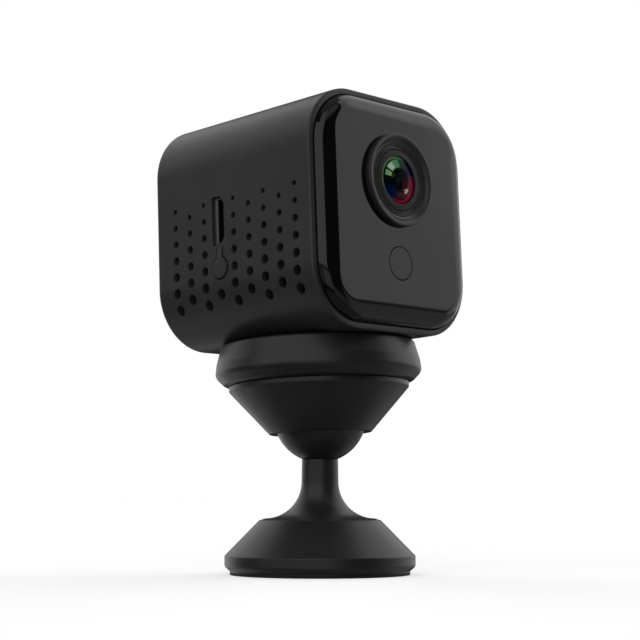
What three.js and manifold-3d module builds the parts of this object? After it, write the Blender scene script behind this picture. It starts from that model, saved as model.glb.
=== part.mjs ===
// Mini security camera: a rounded cube head on a magnetic ball mount.
// Millimetres, +Z up. The origin is the centre of the foot's underside, and the lens looks along -Y.
import * as THREE from 'three';
import { mergeVertices } from 'three/addons/utils/BufferGeometryUtils.js';
import Module from 'manifold-3d';

const wasm = await Module();
wasm.setup();

// ---------------------------------------------------------------- driving dimensions

const BODY = { width: 37, height: 39.2, corner: 10, front: -17.4, back: 19.4 };
const WALL = 1.4; // housing wall
const RIM = 0.9; // what the wall thins to around the front panel and the back cover
const SEAM = 0.14; // gap between a cover and the rim around it
const POCKET = { front: 3.4, back: 1.8 }; // depth of the two cover pockets
const GAP = 0.1; // clearance between pieces that touch on the real object

const BALL = { radius: 7.84, height: 26.45 }; // centre height above the ground
const NECK_RADIUS = 3.1;
const BASE_RADIUS = 15.95;
const HEAD_TILT = THREE.MathUtils.degToRad(2.73); // lens raised above level at rest
const SEAT = { collarTop: 12.1, bodyBottom: 12.2 }; // heights above the ball's centre

const PANEL = { proud: 2, edge: 3, skin: 1.8, skirt: 1.2 }; // edge: how far the rounded border reaches in
const LENS = { z: 5.24, glassRadius: 3.85, barrelRadius: 5.9, trimRadius: 7.77, proud: 1 };
const BUTTON = { z: -8.55, radius: 2.7, groove: 0.14, flange: 3.4 };

const VENT = { columns: 9, firstY: 14.6, columnPitch: 3.55, topZ: 3.3, rowPitch: 2.8 };
const USB = { y: 4.08, z: 0.17, length: 8.1, width: 2.86 }; // opening in the left wall
const CARD = { y: 3.65, z: 2.8, length: 12.2, width: 1.7, corner: 0.75 }; // opening in the right wall
const KEY = { y: 3.97, z: -7.75, radius: 1.9, neck: 1.36, root: -4.6, groove: 0.13, thick: 1 };
const SLIDER = { y: 4.1, z: -7, length: 4.6, width: 2, corner: 0.25, knob: 2.4 };

const FRONT_BOARD = { width: 31, height: 33, corner: 7, front: -10, back: -9 };
const MAIN_BOARD = { width: 33, height: 34, corner: 7.5, front: 1.75, back: 2.75 };
const POSTS = { x: 13, z: 12.6, radius: 1.7 };
const SCREW = { head: 1.4, shank: 0.6, pilot: 0.75, clear: 0.95 };

const panelFace = BODY.front - PANEL.proud;
const innerX = BODY.width / 2 - WALL;
const innerZ = BODY.height / 2 - WALL;

// ---------------------------------------------------------------- shape helpers

function roundedRect(width, height, radius, arcSteps = 8) {
  const outline = new THREE.Shape();
  const corners = [[1, 1, 0], [-1, 1, 1], [-1, -1, 2], [1, -1, 3]];
  for (const [sideX, sideY, quarter] of corners) {
    for (let i = 0; i <= arcSteps; i++) {
      const angle = (quarter + i / arcSteps) * Math.PI / 2;
      const x = sideX * (width / 2 - radius) + radius * Math.cos(angle);
      const y = sideY * (height / 2 - radius) + radius * Math.sin(angle);
      if (outline.curves.length === 0 && quarter === 0 && i === 0) outline.moveTo(x, y);
      else outline.lineTo(x, y);
    }
  }
  return outline;
}

// The housing's own outline, taken in by an offset.
function bodyOutline(offset, arcSteps = 6) {
  const { width, height, corner } = BODY;
  return roundedRect(width - 2 * offset, height - 2 * offset, corner - offset, arcSteps);
}

function circle(radius, steps = 32) {
  const points = [];
  for (let i = 0; i < steps; i++) {
    const angle = i / steps * 2 * Math.PI;
    points.push(new THREE.Vector2(radius * Math.cos(angle), radius * Math.sin(angle)));
  }
  return new THREE.Shape(points);
}

function polygon(points) {
  return new THREE.Shape(points.map(([x, y]) => new THREE.Vector2(x, y)));
}

// Extrudes a shape drawn in (x, y) from one height to another.
function alongZ(shape, from, to) {
  const geometry = new THREE.ExtrudeGeometry(shape, { depth: to - from, bevelEnabled: false });
  return solid(geometry.translate(0, 0, from));
}

// Extrudes a shape drawn in (x, z).
function alongY(shape, from, to) {
  const geometry = new THREE.ExtrudeGeometry(shape, { depth: to - from, bevelEnabled: false });
  return solid(geometry.rotateX(Math.PI / 2).translate(0, to, 0));
}

// Extrudes a shape drawn in (y, z).
function alongX(shape, from, to) {
  const geometry = new THREE.ExtrudeGeometry(shape, { depth: to - from, bevelEnabled: false });
  const axes = [new THREE.Vector3(0, 1, 0), new THREE.Vector3(0, 0, 1), new THREE.Vector3(1, 0, 0)];
  geometry.applyMatrix4(new THREE.Matrix4().makeBasis(...axes));
  return solid(geometry.translate(from, 0, 0));
}

function box(x0, x1, y0, y1, z0, z1) {
  const geometry = new THREE.BoxGeometry(x1 - x0, y1 - y0, z1 - z0);
  return solid(geometry.translate((x0 + x1) / 2, (y0 + y1) / 2, (z0 + z1) / 2));
}

// Turns a closed outline of (radius, height) points round the vertical axis.
function turned(outline, steps = 28) {
  let area = 0;
  outline.forEach(([r, h], i) => {
    const [nextR, nextH] = outline[(i + 1) % outline.length];
    area += r * nextH - nextR * h;
  });
  const loop = (area < 0 ? [...outline].reverse() : [...outline]);
  const start = loop.findIndex(([r], i) => r === 0 && loop[(i + loop.length - 1) % loop.length][0] === 0);
  const ordered = start < 0 ? loop : [...loop.slice(start), ...loop.slice(0, start)];
  if (start < 0) ordered.push(ordered[0]);
  const points = ordered.map(([r, h]) => new THREE.Vector2(r, h));
  return solid(new THREE.LatheGeometry(points, steps).rotateX(Math.PI / 2));
}

// The same, round the lens axis: the outline's second number is y.
function turnedOnLens(outline, steps = 24) {
  const upright = turned(outline.map(([r, y]) => [r, -y]), steps);
  return upright.rotate([90, 0, 0]).translate([0, 0, LENS.z]);
}

// A tube of round section along a smooth curve through points.
function tube(points, radius, steps = 14) {
  const path = new THREE.CatmullRomCurve3(points.map((p) => new THREE.Vector3(...p)));
  const options = { steps, extrudePath: path, bevelEnabled: false };
  return solid(new THREE.ExtrudeGeometry(circle(radius, 6), options));
}

function arc(centreR, centreH, radius, fromDeg, toDeg, steps) {
  return Array.from({ length: steps + 1 }, (_, i) => {
    const angle = THREE.MathUtils.degToRad(fromDeg + (toDeg - fromDeg) * i / steps);
    return [centreR + radius * Math.cos(angle), centreH + radius * Math.sin(angle)];
  });
}

// A closed geometry as a manifold-3d solid, for joining and cutting.
function solid(geometry) {
  const bare = new THREE.BufferGeometry();
  bare.setAttribute('position', geometry.getAttribute('position'));
  if (geometry.index) bare.setIndex(geometry.index);
  const merged = mergeVertices(bare, 1e-4);
  return new wasm.Manifold(new wasm.Mesh({
    numProp: 3,
    vertProperties: merged.attributes.position.array,
    triVerts: new Uint32Array(merged.index.array),
  }));
}

const join = (first, ...others) => others.reduce((sum, piece) => sum.add(piece), first);
const cut = (first, ...others) => others.reduce((rest, tool) => rest.subtract(tool), first);

// ---------------------------------------------------------------- materials and nodes

const finish = (color, roughness, metalness = 0) =>
  new THREE.MeshStandardMaterial({ color, roughness, metalness });

const MATERIALS = {
  satinBlack: finish(0x2b2b2b, 0.5),
  glossBlack: finish(0x161616, 0.08),
  trimBlack: finish(0x232323, 0.4),
  barrelBlack: finish(0x1b1b1c, 0.55, 0.3),
  glass: finish(0x16242c, 0.02),
  innerGrey: finish(0x3a3b3d, 0.6),
  rubber: finish(0x141414, 0.9),
  steel: finish(0xb9bbbd, 0.3, 1),
  blackSteel: finish(0x2c2d30, 0.35, 1),
  magnet: finish(0xc9cccf, 0.25, 1),
  board: finish(0x12402a, 0.5),
  chip: finish(0x18181a, 0.6),
  pouch: finish(0xa9adb2, 0.35, 0.8),
  amber: finish(0xb97a2e, 0.4),
  diode: finish(0xd9dcdf, 0.15),
  redWire: finish(0xa01818, 0.5),
  blackWire: finish(0x101010, 0.5),
};

function node(parent, name, piece, material) {
  const data = piece.getMesh();
  const positions = new Float32Array(data.numVert * 3);
  for (let i = 0; i < data.numVert; i++) {
    positions.set(data.vertProperties.subarray(i * data.numProp, i * data.numProp + 3), i * 3);
  }
  const geometry = new THREE.BufferGeometry();
  geometry.setAttribute('position', new THREE.BufferAttribute(positions, 3));
  geometry.setIndex(new THREE.BufferAttribute(new Uint32Array(data.triVerts), 1));
  const faceted = geometry.toNonIndexed();
  faceted.computeVertexNormals();
  const mesh = new THREE.Mesh(faceted, MATERIALS[material]);
  mesh.name = name;
  parent.add(mesh);
}

// ---------------------------------------------------------------- stand: foot, base, magnet, plate

const FOOT = { radius: 15.04, thick: 0.42 };
const RECESS = { radius: 13.8, ceiling: 5.2 };
const BORE = 2.1; // hole in the neck that the ball's shank turns in
const SHANK = 2;

// Height of the ball's underside above the ground at a radius.
const underBall = (r) => BALL.height - Math.sqrt(BALL.radius ** 2 - r ** 2);

function standBase() {
  const bottom = FOOT.thick + 0.04;
  const flare = { radius: 6.1, height: 15.4 };
  const flareR = NECK_RADIUS + flare.radius;
  const seat = [NECK_RADIUS, 2.6, BORE].map((r) => [r, underBall(r) - GAP]);
  return turned([
    [RECESS.radius, bottom],
    [15.05, bottom],
    [15.85, 1.3],
    [BASE_RADIUS, 1.6],
    [BASE_RADIUS, 3.1],
    [15.85, 3.25],
    [10.15, 9.05],
    ...arc(flareR, flare.height, flare.radius, 270, 180, 6),
    ...seat,
    [BORE, RECESS.ceiling],
    [RECESS.radius - 3, RECESS.ceiling],
    [RECESS.radius, 3],
  ], 36);
}

function addStand(root) {
  const pad = [[0, 0], [FOOT.radius, 0], [FOOT.radius, FOOT.thick], [0, FOOT.thick]];
  node(root, 'foot_pad', turned(pad, 36), 'rubber');
  node(root, 'base_plate', turned([[0, 0.5], [13.6, 0.5], [13.6, 1.3], [0, 1.3]]), 'steel');
  const bevel = 0.4;
  node(root, 'base_magnet', turned([
    [4.4, 1.4], [12 - bevel, 1.4], [12, 1.4 + bevel], [12, 3.4], [9.9, 5], [4.4, 5],
  ]), 'magnet');
  node(root, 'stand_base', standBase(), 'satinBlack');
}

// ---------------------------------------------------------------- ball stud, free to turn in the neck

function addBallStud(root) {
  const thread = 1.3;
  const shankEnd = RECESS.ceiling + 0.3;
  const lowest = Math.acos(SHANK / BALL.radius) * 180 / Math.PI;
  node(root, 'ball_stud', turned([
    ...arc(0, BALL.height, BALL.radius, -lowest, 90, 11).map(([r, h]) => [r < 1e-6 ? 0 : r, h]),
    [0, 14],
    [thread, 13],
    [thread, shankEnd],
    [SHANK, shankEnd],
  ]), 'satinBlack');
  node(root, 'stud_washer', turned([[1.45, 4.6], [3.2, 4.6], [3.2, 5.1], [1.45, 5.1]], 18), 'steel');
  node(root, 'stud_screw', turned([
    [0, 3.9], [1, 3.9], [1, 3.2], [2.2, 3.2], [2.4, 3.5], [2.4, 4.5], [1.2, 4.5], [1.2, 12.5], [0, 12.5],
  ], 14), 'steel');
}

// ---------------------------------------------------------------- mount: heights are above the ball's centre

const SOCKET = { lipRadius: 15.2, lipBottom: 4.4, lipTop: 5.2, bottomRadius: 8.6, bottom: -2.93 };
const CUP = { radius: 8.75, bore: 8.9, top: 8.6 };
const SPIGOT = { radius: 12.9, top: 8.8 };
const WEB = { bottom: 9.4, top: 10 };
const PUCK_RADIUS = 13;

function socketCone() {
  const seatRadius = BALL.radius + GAP;
  const mouth = Math.asin(SOCKET.bottom / seatRadius) * 180 / Math.PI;
  return turned([
    [SOCKET.bottomRadius, SOCKET.bottom],
    [SOCKET.lipRadius, SOCKET.lipBottom],
    [SOCKET.lipRadius, SOCKET.lipTop],
    [SPIGOT.radius, SOCKET.lipTop],
    [SPIGOT.radius, SPIGOT.top],
    [CUP.bore, SPIGOT.top],
    [CUP.bore, 0.5],
    [seatRadius, 0.5],
    ...arc(0, 0, seatRadius, 0, mouth, 3),
  ], 36);
}

function frictionCup() {
  const seatRadius = BALL.radius + GAP;
  const lower = Math.asin(0.9 / seatRadius) * 180 / Math.PI;
  const upper = Math.acos(2 / seatRadius) * 180 / Math.PI;
  return turned([
    [CUP.radius, 0.9],
    [CUP.radius, CUP.top],
    [2, CUP.top],
    ...arc(0, 0, seatRadius, upper, lower, 5),
  ]);
}

// A thin ring bent into three waves, which presses the cup on the ball.
function waveWasher() {
  const ring = new THREE.LatheGeometry([
    [5, 0], [7.6, 0], [7.6, 0.25], [5, 0.25], [5, 0],
  ].map(([r, h]) => new THREE.Vector2(r, h)), 36).rotateX(Math.PI / 2);
  const position = ring.getAttribute('position');
  for (let i = 0; i < position.count; i++) {
    const angle = Math.atan2(position.getY(i), position.getX(i));
    position.setZ(i, position.getZ(i) + 8.9 + 0.1 * Math.sin(3 * angle));
  }
  return solid(ring);
}

function collar() {
  return turned([
    [PUCK_RADIUS + 0.1, SEAT.collarTop],
    [16.05, SEAT.collarTop],
    [16.35, 11.95],
    [17.2, 8.95],
    [17.4, 8.1],
    [17.42, 7],
    [16.7, 6.05],
    [16.1, 5.6],
    [15.35, 5.28],
    [SPIGOT.radius + 0.1, 5.28],
    [SPIGOT.radius + 0.1, WEB.bottom],
    [0, WEB.bottom],
    [0, WEB.top],
    [PUCK_RADIUS + 0.1, WEB.top],
  ], 36);
}

function addMount(root) {
  node(root, 'socket_cone', socketCone(), 'satinBlack');
  node(root, 'friction_cup', frictionCup(), 'innerGrey');
  node(root, 'cup_spring', waveWasher(), 'steel');
  node(root, 'collar', collar(), 'satinBlack');
}

function addPuck(root) {
  const magnetTop = 11.6;
  node(root, 'mount_magnet', turned([
    [0, WEB.top + GAP], [12.7, WEB.top + GAP], [PUCK_RADIUS, 10.4], [PUCK_RADIUS, magnetTop], [0, magnetTop],
  ]), 'magnet');
  node(root, 'grip_pad', turned([
    [0, magnetTop + 0.05], [12.6, magnetTop + 0.05], [12.6, SEAT.collarTop], [0, SEAT.collarTop],
  ]), 'rubber');
}

// ---------------------------------------------------------------- housing: z is from the head's centre

// Vent holes grow towards the bottom, in staggered columns. The column with the port or slot in it
// keeps only its lowest hole.
function ventHoles() {
  const holes = [];
  for (let column = 0; column < VENT.columns; column++) {
    const odd = column % 2;
    for (let row = odd ? 0.5 : 0; row <= 6; row++) {
      if (column === 3 && row < 5.5) continue;
      holes.push({
        y: VENT.firstY - column * VENT.columnPitch,
        z: VENT.topZ - row * VENT.rowPitch,
        radius: 0.4 + 0.083 * Math.min(row, 5.5),
      });
    }
  }
  return holes;
}

function keyOutline(grow) {
  const r = KEY.radius + grow;
  const half = KEY.neck / 2 + grow;
  const meet = Math.asin(half * 1.25 / r);
  const outline = [[KEY.y - half, KEY.root + grow]];
  const steps = 22;
  for (let i = 0; i <= steps; i++) {
    const angle = Math.PI / 2 + meet + (2 * Math.PI - 2 * meet) * i / steps;
    outline.push([KEY.y + r * Math.cos(angle), KEY.z + r * Math.sin(angle)]);
  }
  outline.splice(1, 0, [KEY.y - half, KEY.z + r * Math.cos(meet) + 0.45]);
  outline.push([KEY.y + half, KEY.z + r * Math.cos(meet) + 0.45]);
  outline.push([KEY.y + half, KEY.root + grow]);
  return outline;
}

// The port's opening: square corners at the back, sloped corners at the front.
function usbOutline(length, width, slopeY, slopeZ) {
  const half = length / 2;
  const front = USB.y - width / 2;
  const back = USB.y + width / 2;
  return polygon([
    [front, USB.z - half + slopeZ], [front + slopeY, USB.z - half], [back - 0.3, USB.z - half],
    [back, USB.z - half + 0.3], [back, USB.z + half - 0.3], [back - 0.3, USB.z + half],
    [front + slopeY, USB.z + half], [front, USB.z + half - slopeZ],
  ]);
}

function slotOutline(slot) {
  const shape = roundedRect(slot.width, slot.length, slot.corner, 3);
  return polygon(shape.getPoints().map((p) => [p.x + slot.y, p.y + slot.z]));
}

function housingSleeve() {
  const bevel = 0.6;
  const outer = new THREE.ExtrudeGeometry(bodyOutline(0), {
    depth: BODY.back - BODY.front, bevelThickness: bevel, bevelSize: bevel,
    bevelOffset: -bevel, bevelSegments: 2,
  });
  outer.rotateX(Math.PI / 2).translate(0, BODY.back - bevel, 0);
  const reach = 30;
  const inner = alongY(bodyOutline(WALL), BODY.front - 5, BODY.back + 5);
  const front = alongY(bodyOutline(RIM), BODY.front - 5, BODY.front + POCKET.front);
  const back = alongY(bodyOutline(RIM), BODY.back - POCKET.back, BODY.back + 5);
  const ahead = box(-reach, reach, BODY.front - 5, BODY.front, -reach, reach);
  const holes = [];
  for (const { y, z, radius } of ventHoles()) {
    const hole = polygon(circle(radius, 6).getPoints().map((p) => [p.x + y, p.y + z]));
    holes.push(alongX(hole, -19, -14.5), alongX(hole, 14.5, 19));
  }
  const outside = BODY.width / 2 + 1;
  return cut(
    solid(outer), ahead, inner, front, back, ...holes,
    alongX(usbOutline(USB.length, USB.width, 0.85, 1.2), -outside, -innerX + 1),
    alongX(polygon(keyOutline(KEY.groove)), -outside, -innerX + 1),
    alongX(slotOutline(CARD), innerX - 1, outside),
    alongX(slotOutline(SLIDER), innerX - 1, outside),
  );
}

function frontPanel() {
  const outline = RIM + SEAM;
  const back = BODY.front + POCKET.front - 0.2;
  const shell = new THREE.ExtrudeGeometry(bodyOutline(outline), {
    depth: back - BODY.front, bevelThickness: PANEL.proud, bevelSize: PANEL.edge,
    bevelOffset: -PANEL.edge, bevelSegments: 4,
  });
  shell.rotateX(Math.PI / 2).translate(0, back, 0);
  const inside = panelFace + PANEL.skin;
  const behind = box(-30, 30, back, back + 5, -30, 30);
  const hollow = alongY(bodyOutline(outline + PANEL.skirt), inside, back + 5);
  const postEnd = FRONT_BOARD.front - GAP;
  const post = (x, z) => alongY(circle(POSTS.radius, 12), inside - 0.2, postEnd).translate([x, 0, z]);
  const pilot = (x, z) => alongY(circle(SCREW.pilot, 8), -15, -5).translate([x, 0, z]);
  const posts = [[-POSTS.x, -POSTS.z], [POSTS.x, POSTS.z]];
  return cut(
    join(cut(solid(shell), behind, hollow), ...posts.map(([x, z]) => post(x, z))),
    ...posts.map(([x, z]) => pilot(x, z)),
    alongY(circle(7, 36), -30, 0).translate([0, 0, LENS.z]),
    alongY(circle(BUTTON.radius + BUTTON.groove, 24), -30, 0).translate([0, 0, BUTTON.z]),
  );
}

const CORNER_POSTS = [[-1, 1], [1, 1], [1, -1], [-1, -1]].map(([sx, sz]) => [sx * POSTS.x, sz * POSTS.z]);

function backCover() {
  const plateFront = BODY.back - POCKET.back + 0.15;
  const plate = alongY(bodyOutline(RIM + SEAM), plateFront, BODY.back);
  const posts = CORNER_POSTS.map(([x, z]) =>
    alongY(circle(POSTS.radius, 12), MAIN_BOARD.back + GAP, plateFront + 0.3).translate([x, 0, z]));
  const pilots = CORNER_POSTS.map(([x, z]) =>
    alongY(circle(SCREW.pilot, 8), 0, 9).translate([x, 0, z]));
  return cut(join(plate, ...posts), ...pilots);
}

// ---------------------------------------------------------------- lens: outlines are (radius, y)

function trimRing() {
  const face = panelFace - 0.06;
  const crest = panelFace - LENS.proud;
  return turnedOnLens([
    [LENS.trimRadius, face], [LENS.trimRadius, face - 0.5], [7.66, crest + 0.12], [7.45, crest],
    [7.25, crest + 0.06], [6.85, crest + 0.42], [6.05, crest + 0.76], [6.05, -17], [6.9, -17], [6.9, face],
  ], 32);
}

function lensBarrel() {
  const top = panelFace - 0.25;
  return turnedOnLens([
    [LENS.barrelRadius, top + 0.05], [5.8, top], [5.74, top + 0.15], [5.64, top + 0.15], [5.58, top], [5.2, top],
    [5.15, top + 0.05], [5.15, -19], [4.2, -19], [4.2, -15.2], [3, -15.2], [3, -13.2],
    [LENS.barrelRadius, -13.2],
  ]);
}

// Front glass: a domed face through the retainer, a flat rim and a hollow back.
function frontLens() {
  const domeRadius = 8;
  const rim = 4.05;
  const apex = -20.42;
  const edge = Math.acos(rim / domeRadius) * 180 / Math.PI;
  const dome = arc(0, 0, domeRadius, edge, 90, 4).map(([r, h]) => [r < 1e-6 ? 0 : r, apex + domeRadius - h]);
  const hollowRadius = 3.4;
  const hollow = arc(0, 0, hollowRadius, 90, 30, 3).map(([r, h]) => [r < 1e-6 ? 0 : r, -15.6 - h]);
  return turnedOnLens([...dome, ...hollow, [rim, -17.3]], 20);
}

function biconvex(radius, front, back, bulge) {
  const half = (back - front) / 2;
  const centre = (front + back) / 2;
  const steps = 3;
  const side = (sign) => Array.from({ length: steps + 1 }, (_, i) => {
    const r = radius * i / steps;
    return [r, centre + sign * (half - bulge * (r / radius) ** 2)];
  });
  return turnedOnLens([...side(-1), ...side(1).reverse()], 14);
}

function lensHolder() {
  const holderFront = -16.7;
  const flange = alongY(roundedRect(15, 15, 1.5, 3), -12.4, FRONT_BOARD.front - GAP);
  const barrelTube = alongY(circle(7, 28), holderFront, -12);
  return cut(
    join(flange, barrelTube),
    alongY(circle(LENS.barrelRadius + 2 * GAP, 28), holderFront - 2, -13),
    alongY(circle(3.2, 16), -14, -5),
    alongY(roundedRect(8.4, 8.4, 0.6, 1), -11.7, -5),
  ).translate([0, 0, LENS.z]);
}

function addLens(root) {
  node(root, 'lens_trim_ring', trimRing(), 'trimBlack');
  node(root, 'lens_barrel', lensBarrel(), 'barrelBlack');
  node(root, 'lens_retainer', turnedOnLens([
    [5.05, -19.65], [4.2, -19.75], [3.98, -19.72], [3.95, -19.58], [4.3, -19.15], [5.05, -19.15],
  ]), 'barrelBlack');
  node(root, 'front_lens', frontLens(), 'glass');
  node(root, 'middle_lens', biconvex(2.9, -15.1, -14.1, 0.3), 'glass');
  node(root, 'rear_lens', biconvex(2.5, -14, -13.3, 0.15), 'glass');
  node(root, 'lens_holder', lensHolder(), 'innerGrey');
  const centred = (half, front, back) => box(-half, half, front, back, LENS.z - half, LENS.z + half);
  node(root, 'ir_filter', centred(3.8, -11.6, -11.25), 'glass');
  node(root, 'image_sensor', centred(3.3, -11, FRONT_BOARD.front - GAP), 'chip');
}

// ---------------------------------------------------------------- boards and what is soldered to them

function boardWithHoles(board, holes) {
  const plate = alongY(roundedRect(board.width, board.height, board.corner, 6), board.front, board.back);
  return cut(plate, ...holes.map(([x, z]) =>
    alongY(circle(SCREW.clear, 8), board.front - 2, board.back + 2).translate([x, 0, z])));
}

// A pan-head screw with a cross slot. It points along -Y (way -1) or +Y (way 1).
function screw(x, z, seat, way, length) {
  const headThick = 0.85;
  const head = turned([
    [0, -headThick], [SCREW.head - 0.35, -headThick], [SCREW.head, -headThick + 0.4], [SCREW.head, 0],
    [SCREW.shank, 0], [SCREW.shank, length], [0, length],
  ], 12);
  const slot = 0.16;
  const deep = 0.35;
  const crossed = cut(
    head,
    box(-0.85, 0.85, -slot, slot, -headThick - 1, -headThick + deep),
    box(-slot, slot, -0.85, 0.85, -headThick - 1, -headThick + deep),
  );
  return crossed.rotate([way > 0 ? -90 : 90, 0, 0]).translate([x, seat, z]);
}

function irLed(x, z) {
  const base = FRONT_BOARD.front - GAP;
  const lamp = turned([
    ...arc(0, 0, 1.15, 0, 90, 3).map(([r, h]) => [r < 1e-6 ? 0 : r, h + 0.5]), [0, -0.1], [1.15, -0.1],
  ], 12);
  const body = box(-1.5, 1.5, base - 0.7, base, -1.5, 1.5);
  return join(body, lamp.rotate([90, 0, 0]).translate([0, base - 0.6, 0])).translate([x, 0, z]);
}

function addFrontBoard(root) {
  const holes = [[-POSTS.x, -POSTS.z], [POSTS.x, POSTS.z]];
  node(root, 'front_board', boardWithHoles(FRONT_BOARD, holes), 'board');
  holes.forEach(([x, z], i) => {
    const seat = FRONT_BOARD.back + 0.06;
    node(root, `front_board_screw_${i + 1}`, screw(x, z, seat, -1, 4.2), 'steel');
  });
  [[-11.5, 9], [11.5, 9], [-11.5, 0], [11.5, 0]].forEach(([x, z], i) => {
    node(root, `ir_led_${i + 1}`, irLed(x, z), 'diode');
  });
  const base = FRONT_BOARD.front - GAP;
  const half = 2.25;
  const body = box(-half, half, base - 2, base, BUTTON.z - half, BUTTON.z + half);
  const plunger = alongY(circle(1, 20), base - 2.5, base - 1).translate([0, 0, BUTTON.z]);
  node(root, 'button_switch', join(body, plunger), 'chip');
}

function usbShell() {
  const mouth = -17.9;
  const end = -11.2;
  const thick = 0.3;
  const length = USB.length - 0.3;
  const width = USB.width - 0.3;
  const outer = alongX(usbOutline(length, width, 0.75, 1.1), mouth, end);
  const inner = usbOutline(length - 2 * thick, width - 2 * thick, 0.6, 0.9);
  return cut(outer, alongX(inner, mouth - 1, end - thick));
}

function cardSocket() {
  const mouth = 16.4;
  const cover = box(2.1, mouth, 2.85, 4.45, CARD.z - 7, CARD.z + 7);
  return cut(cover, box(4, mouth + 1, 3.2, 4.15, CARD.z - 5.7, CARD.z + 5.7));
}

function slideSwitch() {
  const body = box(12.5, 15.2, 2.85, 5.4, SLIDER.z - 2.5, SLIDER.z + 2.5);
  return cut(body, box(14.2, 16, SLIDER.y - 0.6, SLIDER.y + 0.6, SLIDER.z - 1.9, SLIDER.z + 1.9));
}

function addMainBoard(root) {
  node(root, 'main_board', boardWithHoles(MAIN_BOARD, CORNER_POSTS), 'board');
  CORNER_POSTS.forEach(([x, z], i) => {
    const seat = MAIN_BOARD.front - 0.06;
    node(root, `main_board_screw_${i + 1}`, screw(x, z, seat, 1, 5), 'steel');
  });
  const front = MAIN_BOARD.front - 0.05;
  const can = alongY(roundedRect(15, 15, 1, 3), front - 2, front).translate([2, 0, 3]);
  node(root, 'shield_can', can, 'steel');
  node(root, 'usb_shell', usbShell(), 'blackSteel');
  const blade = box(-17.3, -11.6, 3.95, 4.5, USB.z - 2.3, USB.z + 2.3);
  node(root, 'usb_tongue', blade, 'chip');
  node(root, 'card_socket', cardSocket(), 'steel');
  const keyTip = 4;
  const resetBody = box(-14.3, -11.4, 2.85, 5.6, KEY.z - 2.1, KEY.z + 2.1);
  const resetPlunger = alongX(circle(0.8, 16), -14.75, -14).translate([0, keyTip, KEY.z]);
  node(root, 'reset_switch', join(resetBody, resetPlunger), 'chip');
  node(root, 'slide_switch', slideSwitch(), 'steel');
  const capsule = turned([[0, 0], [2, 0], [2, 1.3], [1.8, 1.5], [0, 1.5]], 24);
  node(root, 'microphone', capsule.rotate([90, 0, 0]).translate([-8, front, -13]), 'steel');
}

// ---------------------------------------------------------------- battery, speaker, aerial, wiring

function lead(side) {
  return tube([
    [side * 1.2, 12, 14.15], [side * 1.2, 11.8, 15.6], [side * 1.1, 9, 16.6],
    [side, 5.6, 16.2], [side, 4.2, 14.8], [side, 4, 13.4], [side, 3.6, 13],
  ], 0.45);
}

// The ribbon between the boards: a thin band that hangs in a shallow loop.
function ribbon() {
  const steps = 12;
  const band = 0.1;
  const from = FRONT_BOARD.back + GAP;
  const span = MAIN_BOARD.front - GAP - from;
  const line = Array.from({ length: steps + 1 }, (_, i) => {
    const t = i / steps;
    return [from + span * t, -12.2 - 2.2 * Math.sin(Math.PI * t)];
  });
  const outline = [...line.map(([y, z]) => [y, z - band]), ...line.reverse().map(([y, z]) => [y, z + band])];
  return alongX(polygon(outline), -3.5, 4.5);
}

function addPowerAndSound(root) {
  const cell = alongY(roundedRect(21.6, 28, 1.6, 3), 8.2, 16.4);
  node(root, 'battery', cell, 'pouch');
  node(root, 'battery_lead_red', lead(1), 'redWire');
  node(root, 'battery_lead_black', lead(-1), 'blackWire');
  const frame = alongX(roundedRect(9.4, 16, 1.6, 3), -16.9, -13.4);
  const cone = alongX(roundedRect(7.4, 14, 1.2, 3), -17.5, -16.5);
  node(root, 'speaker', cut(frame, cone).translate([0, -3.8, 0]), 'chip');
  node(root, 'antenna', box(-8, 8, -6, 6, innerZ - 0.45, innerZ - 0.15), 'amber');
  node(root, 'antenna_cable', tube([
    [5, -2, innerZ - 0.98], [5.2, -1.6, 16.2], [5.6, -0.8, 15], [6, 0.2, 13.9], [6, 1, 13.2], [6, 1.6, 12.9],
  ], 0.4, 12), 'blackWire');
  node(root, 'flex_cable', ribbon(), 'amber');
  const floor = -innerZ + GAP;
  node(root, 'keeper_plate', alongZ(roundedRect(16.4, 22, 2, 4), floor, floor + 1), 'steel');
}

// ---------------------------------------------------------------- pieces that move on the head

function frontButton() {
  const inside = panelFace + PANEL.skin;
  const stemEnd = FRONT_BOARD.front - GAP - 2.5 - 0.45;
  return turned([
    [0, -panelFace], [BUTTON.radius - 0.1, -panelFace], [BUTTON.radius, -panelFace - 0.1],
    [BUTTON.radius, -inside - GAP], [BUTTON.flange, -inside - GAP], [BUTTON.flange, -inside - 0.7],
    [1.2, -inside - 0.7], [1.2, -stemEnd], [0, -stemEnd],
  ], 24).rotate([90, 0, 0]).translate([0, 0, BUTTON.z]);
}

function resetKey() {
  const outside = -BODY.width / 2;
  const plate = alongX(polygon(keyOutline(0)), outside, outside + KEY.thick);
  const stem = alongX(circle(0.8, 16), outside + KEY.thick - 0.2, -15.2).translate([0, 4, KEY.z]);
  return join(plate, stem);
}

function powerSlider() {
  const low = SLIDER.z - SLIDER.length / 2 + 0.1;
  const outside = BODY.width / 2 - 0.1;
  const halfWidth = SLIDER.width / 2 - 0.1;
  const knob = box(innerX + 0.2, outside, SLIDER.y - halfWidth, SLIDER.y + halfWidth, low, low + SLIDER.knob);
  const middle = low + SLIDER.knob / 2;
  const plate = box(innerX - 0.6, innerX - 0.1, SLIDER.y - 1.4, SLIDER.y + 1.4, middle - 1.5, middle + 1.9);
  const neck = box(innerX - 0.3, innerX + 0.5, SLIDER.y - 0.7, SLIDER.y + 0.7, middle - 1, middle + 1);
  const finger = box(14.5, innerX - 0.3, SLIDER.y - 0.4, SLIDER.y + 0.4, middle - 0.5, middle + 0.5);
  return join(knob, neck, plate, finger);
}

// ---------------------------------------------------------------- assembly

const camera = new THREE.Group();
addStand(camera);
addBallStud(camera);

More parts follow.
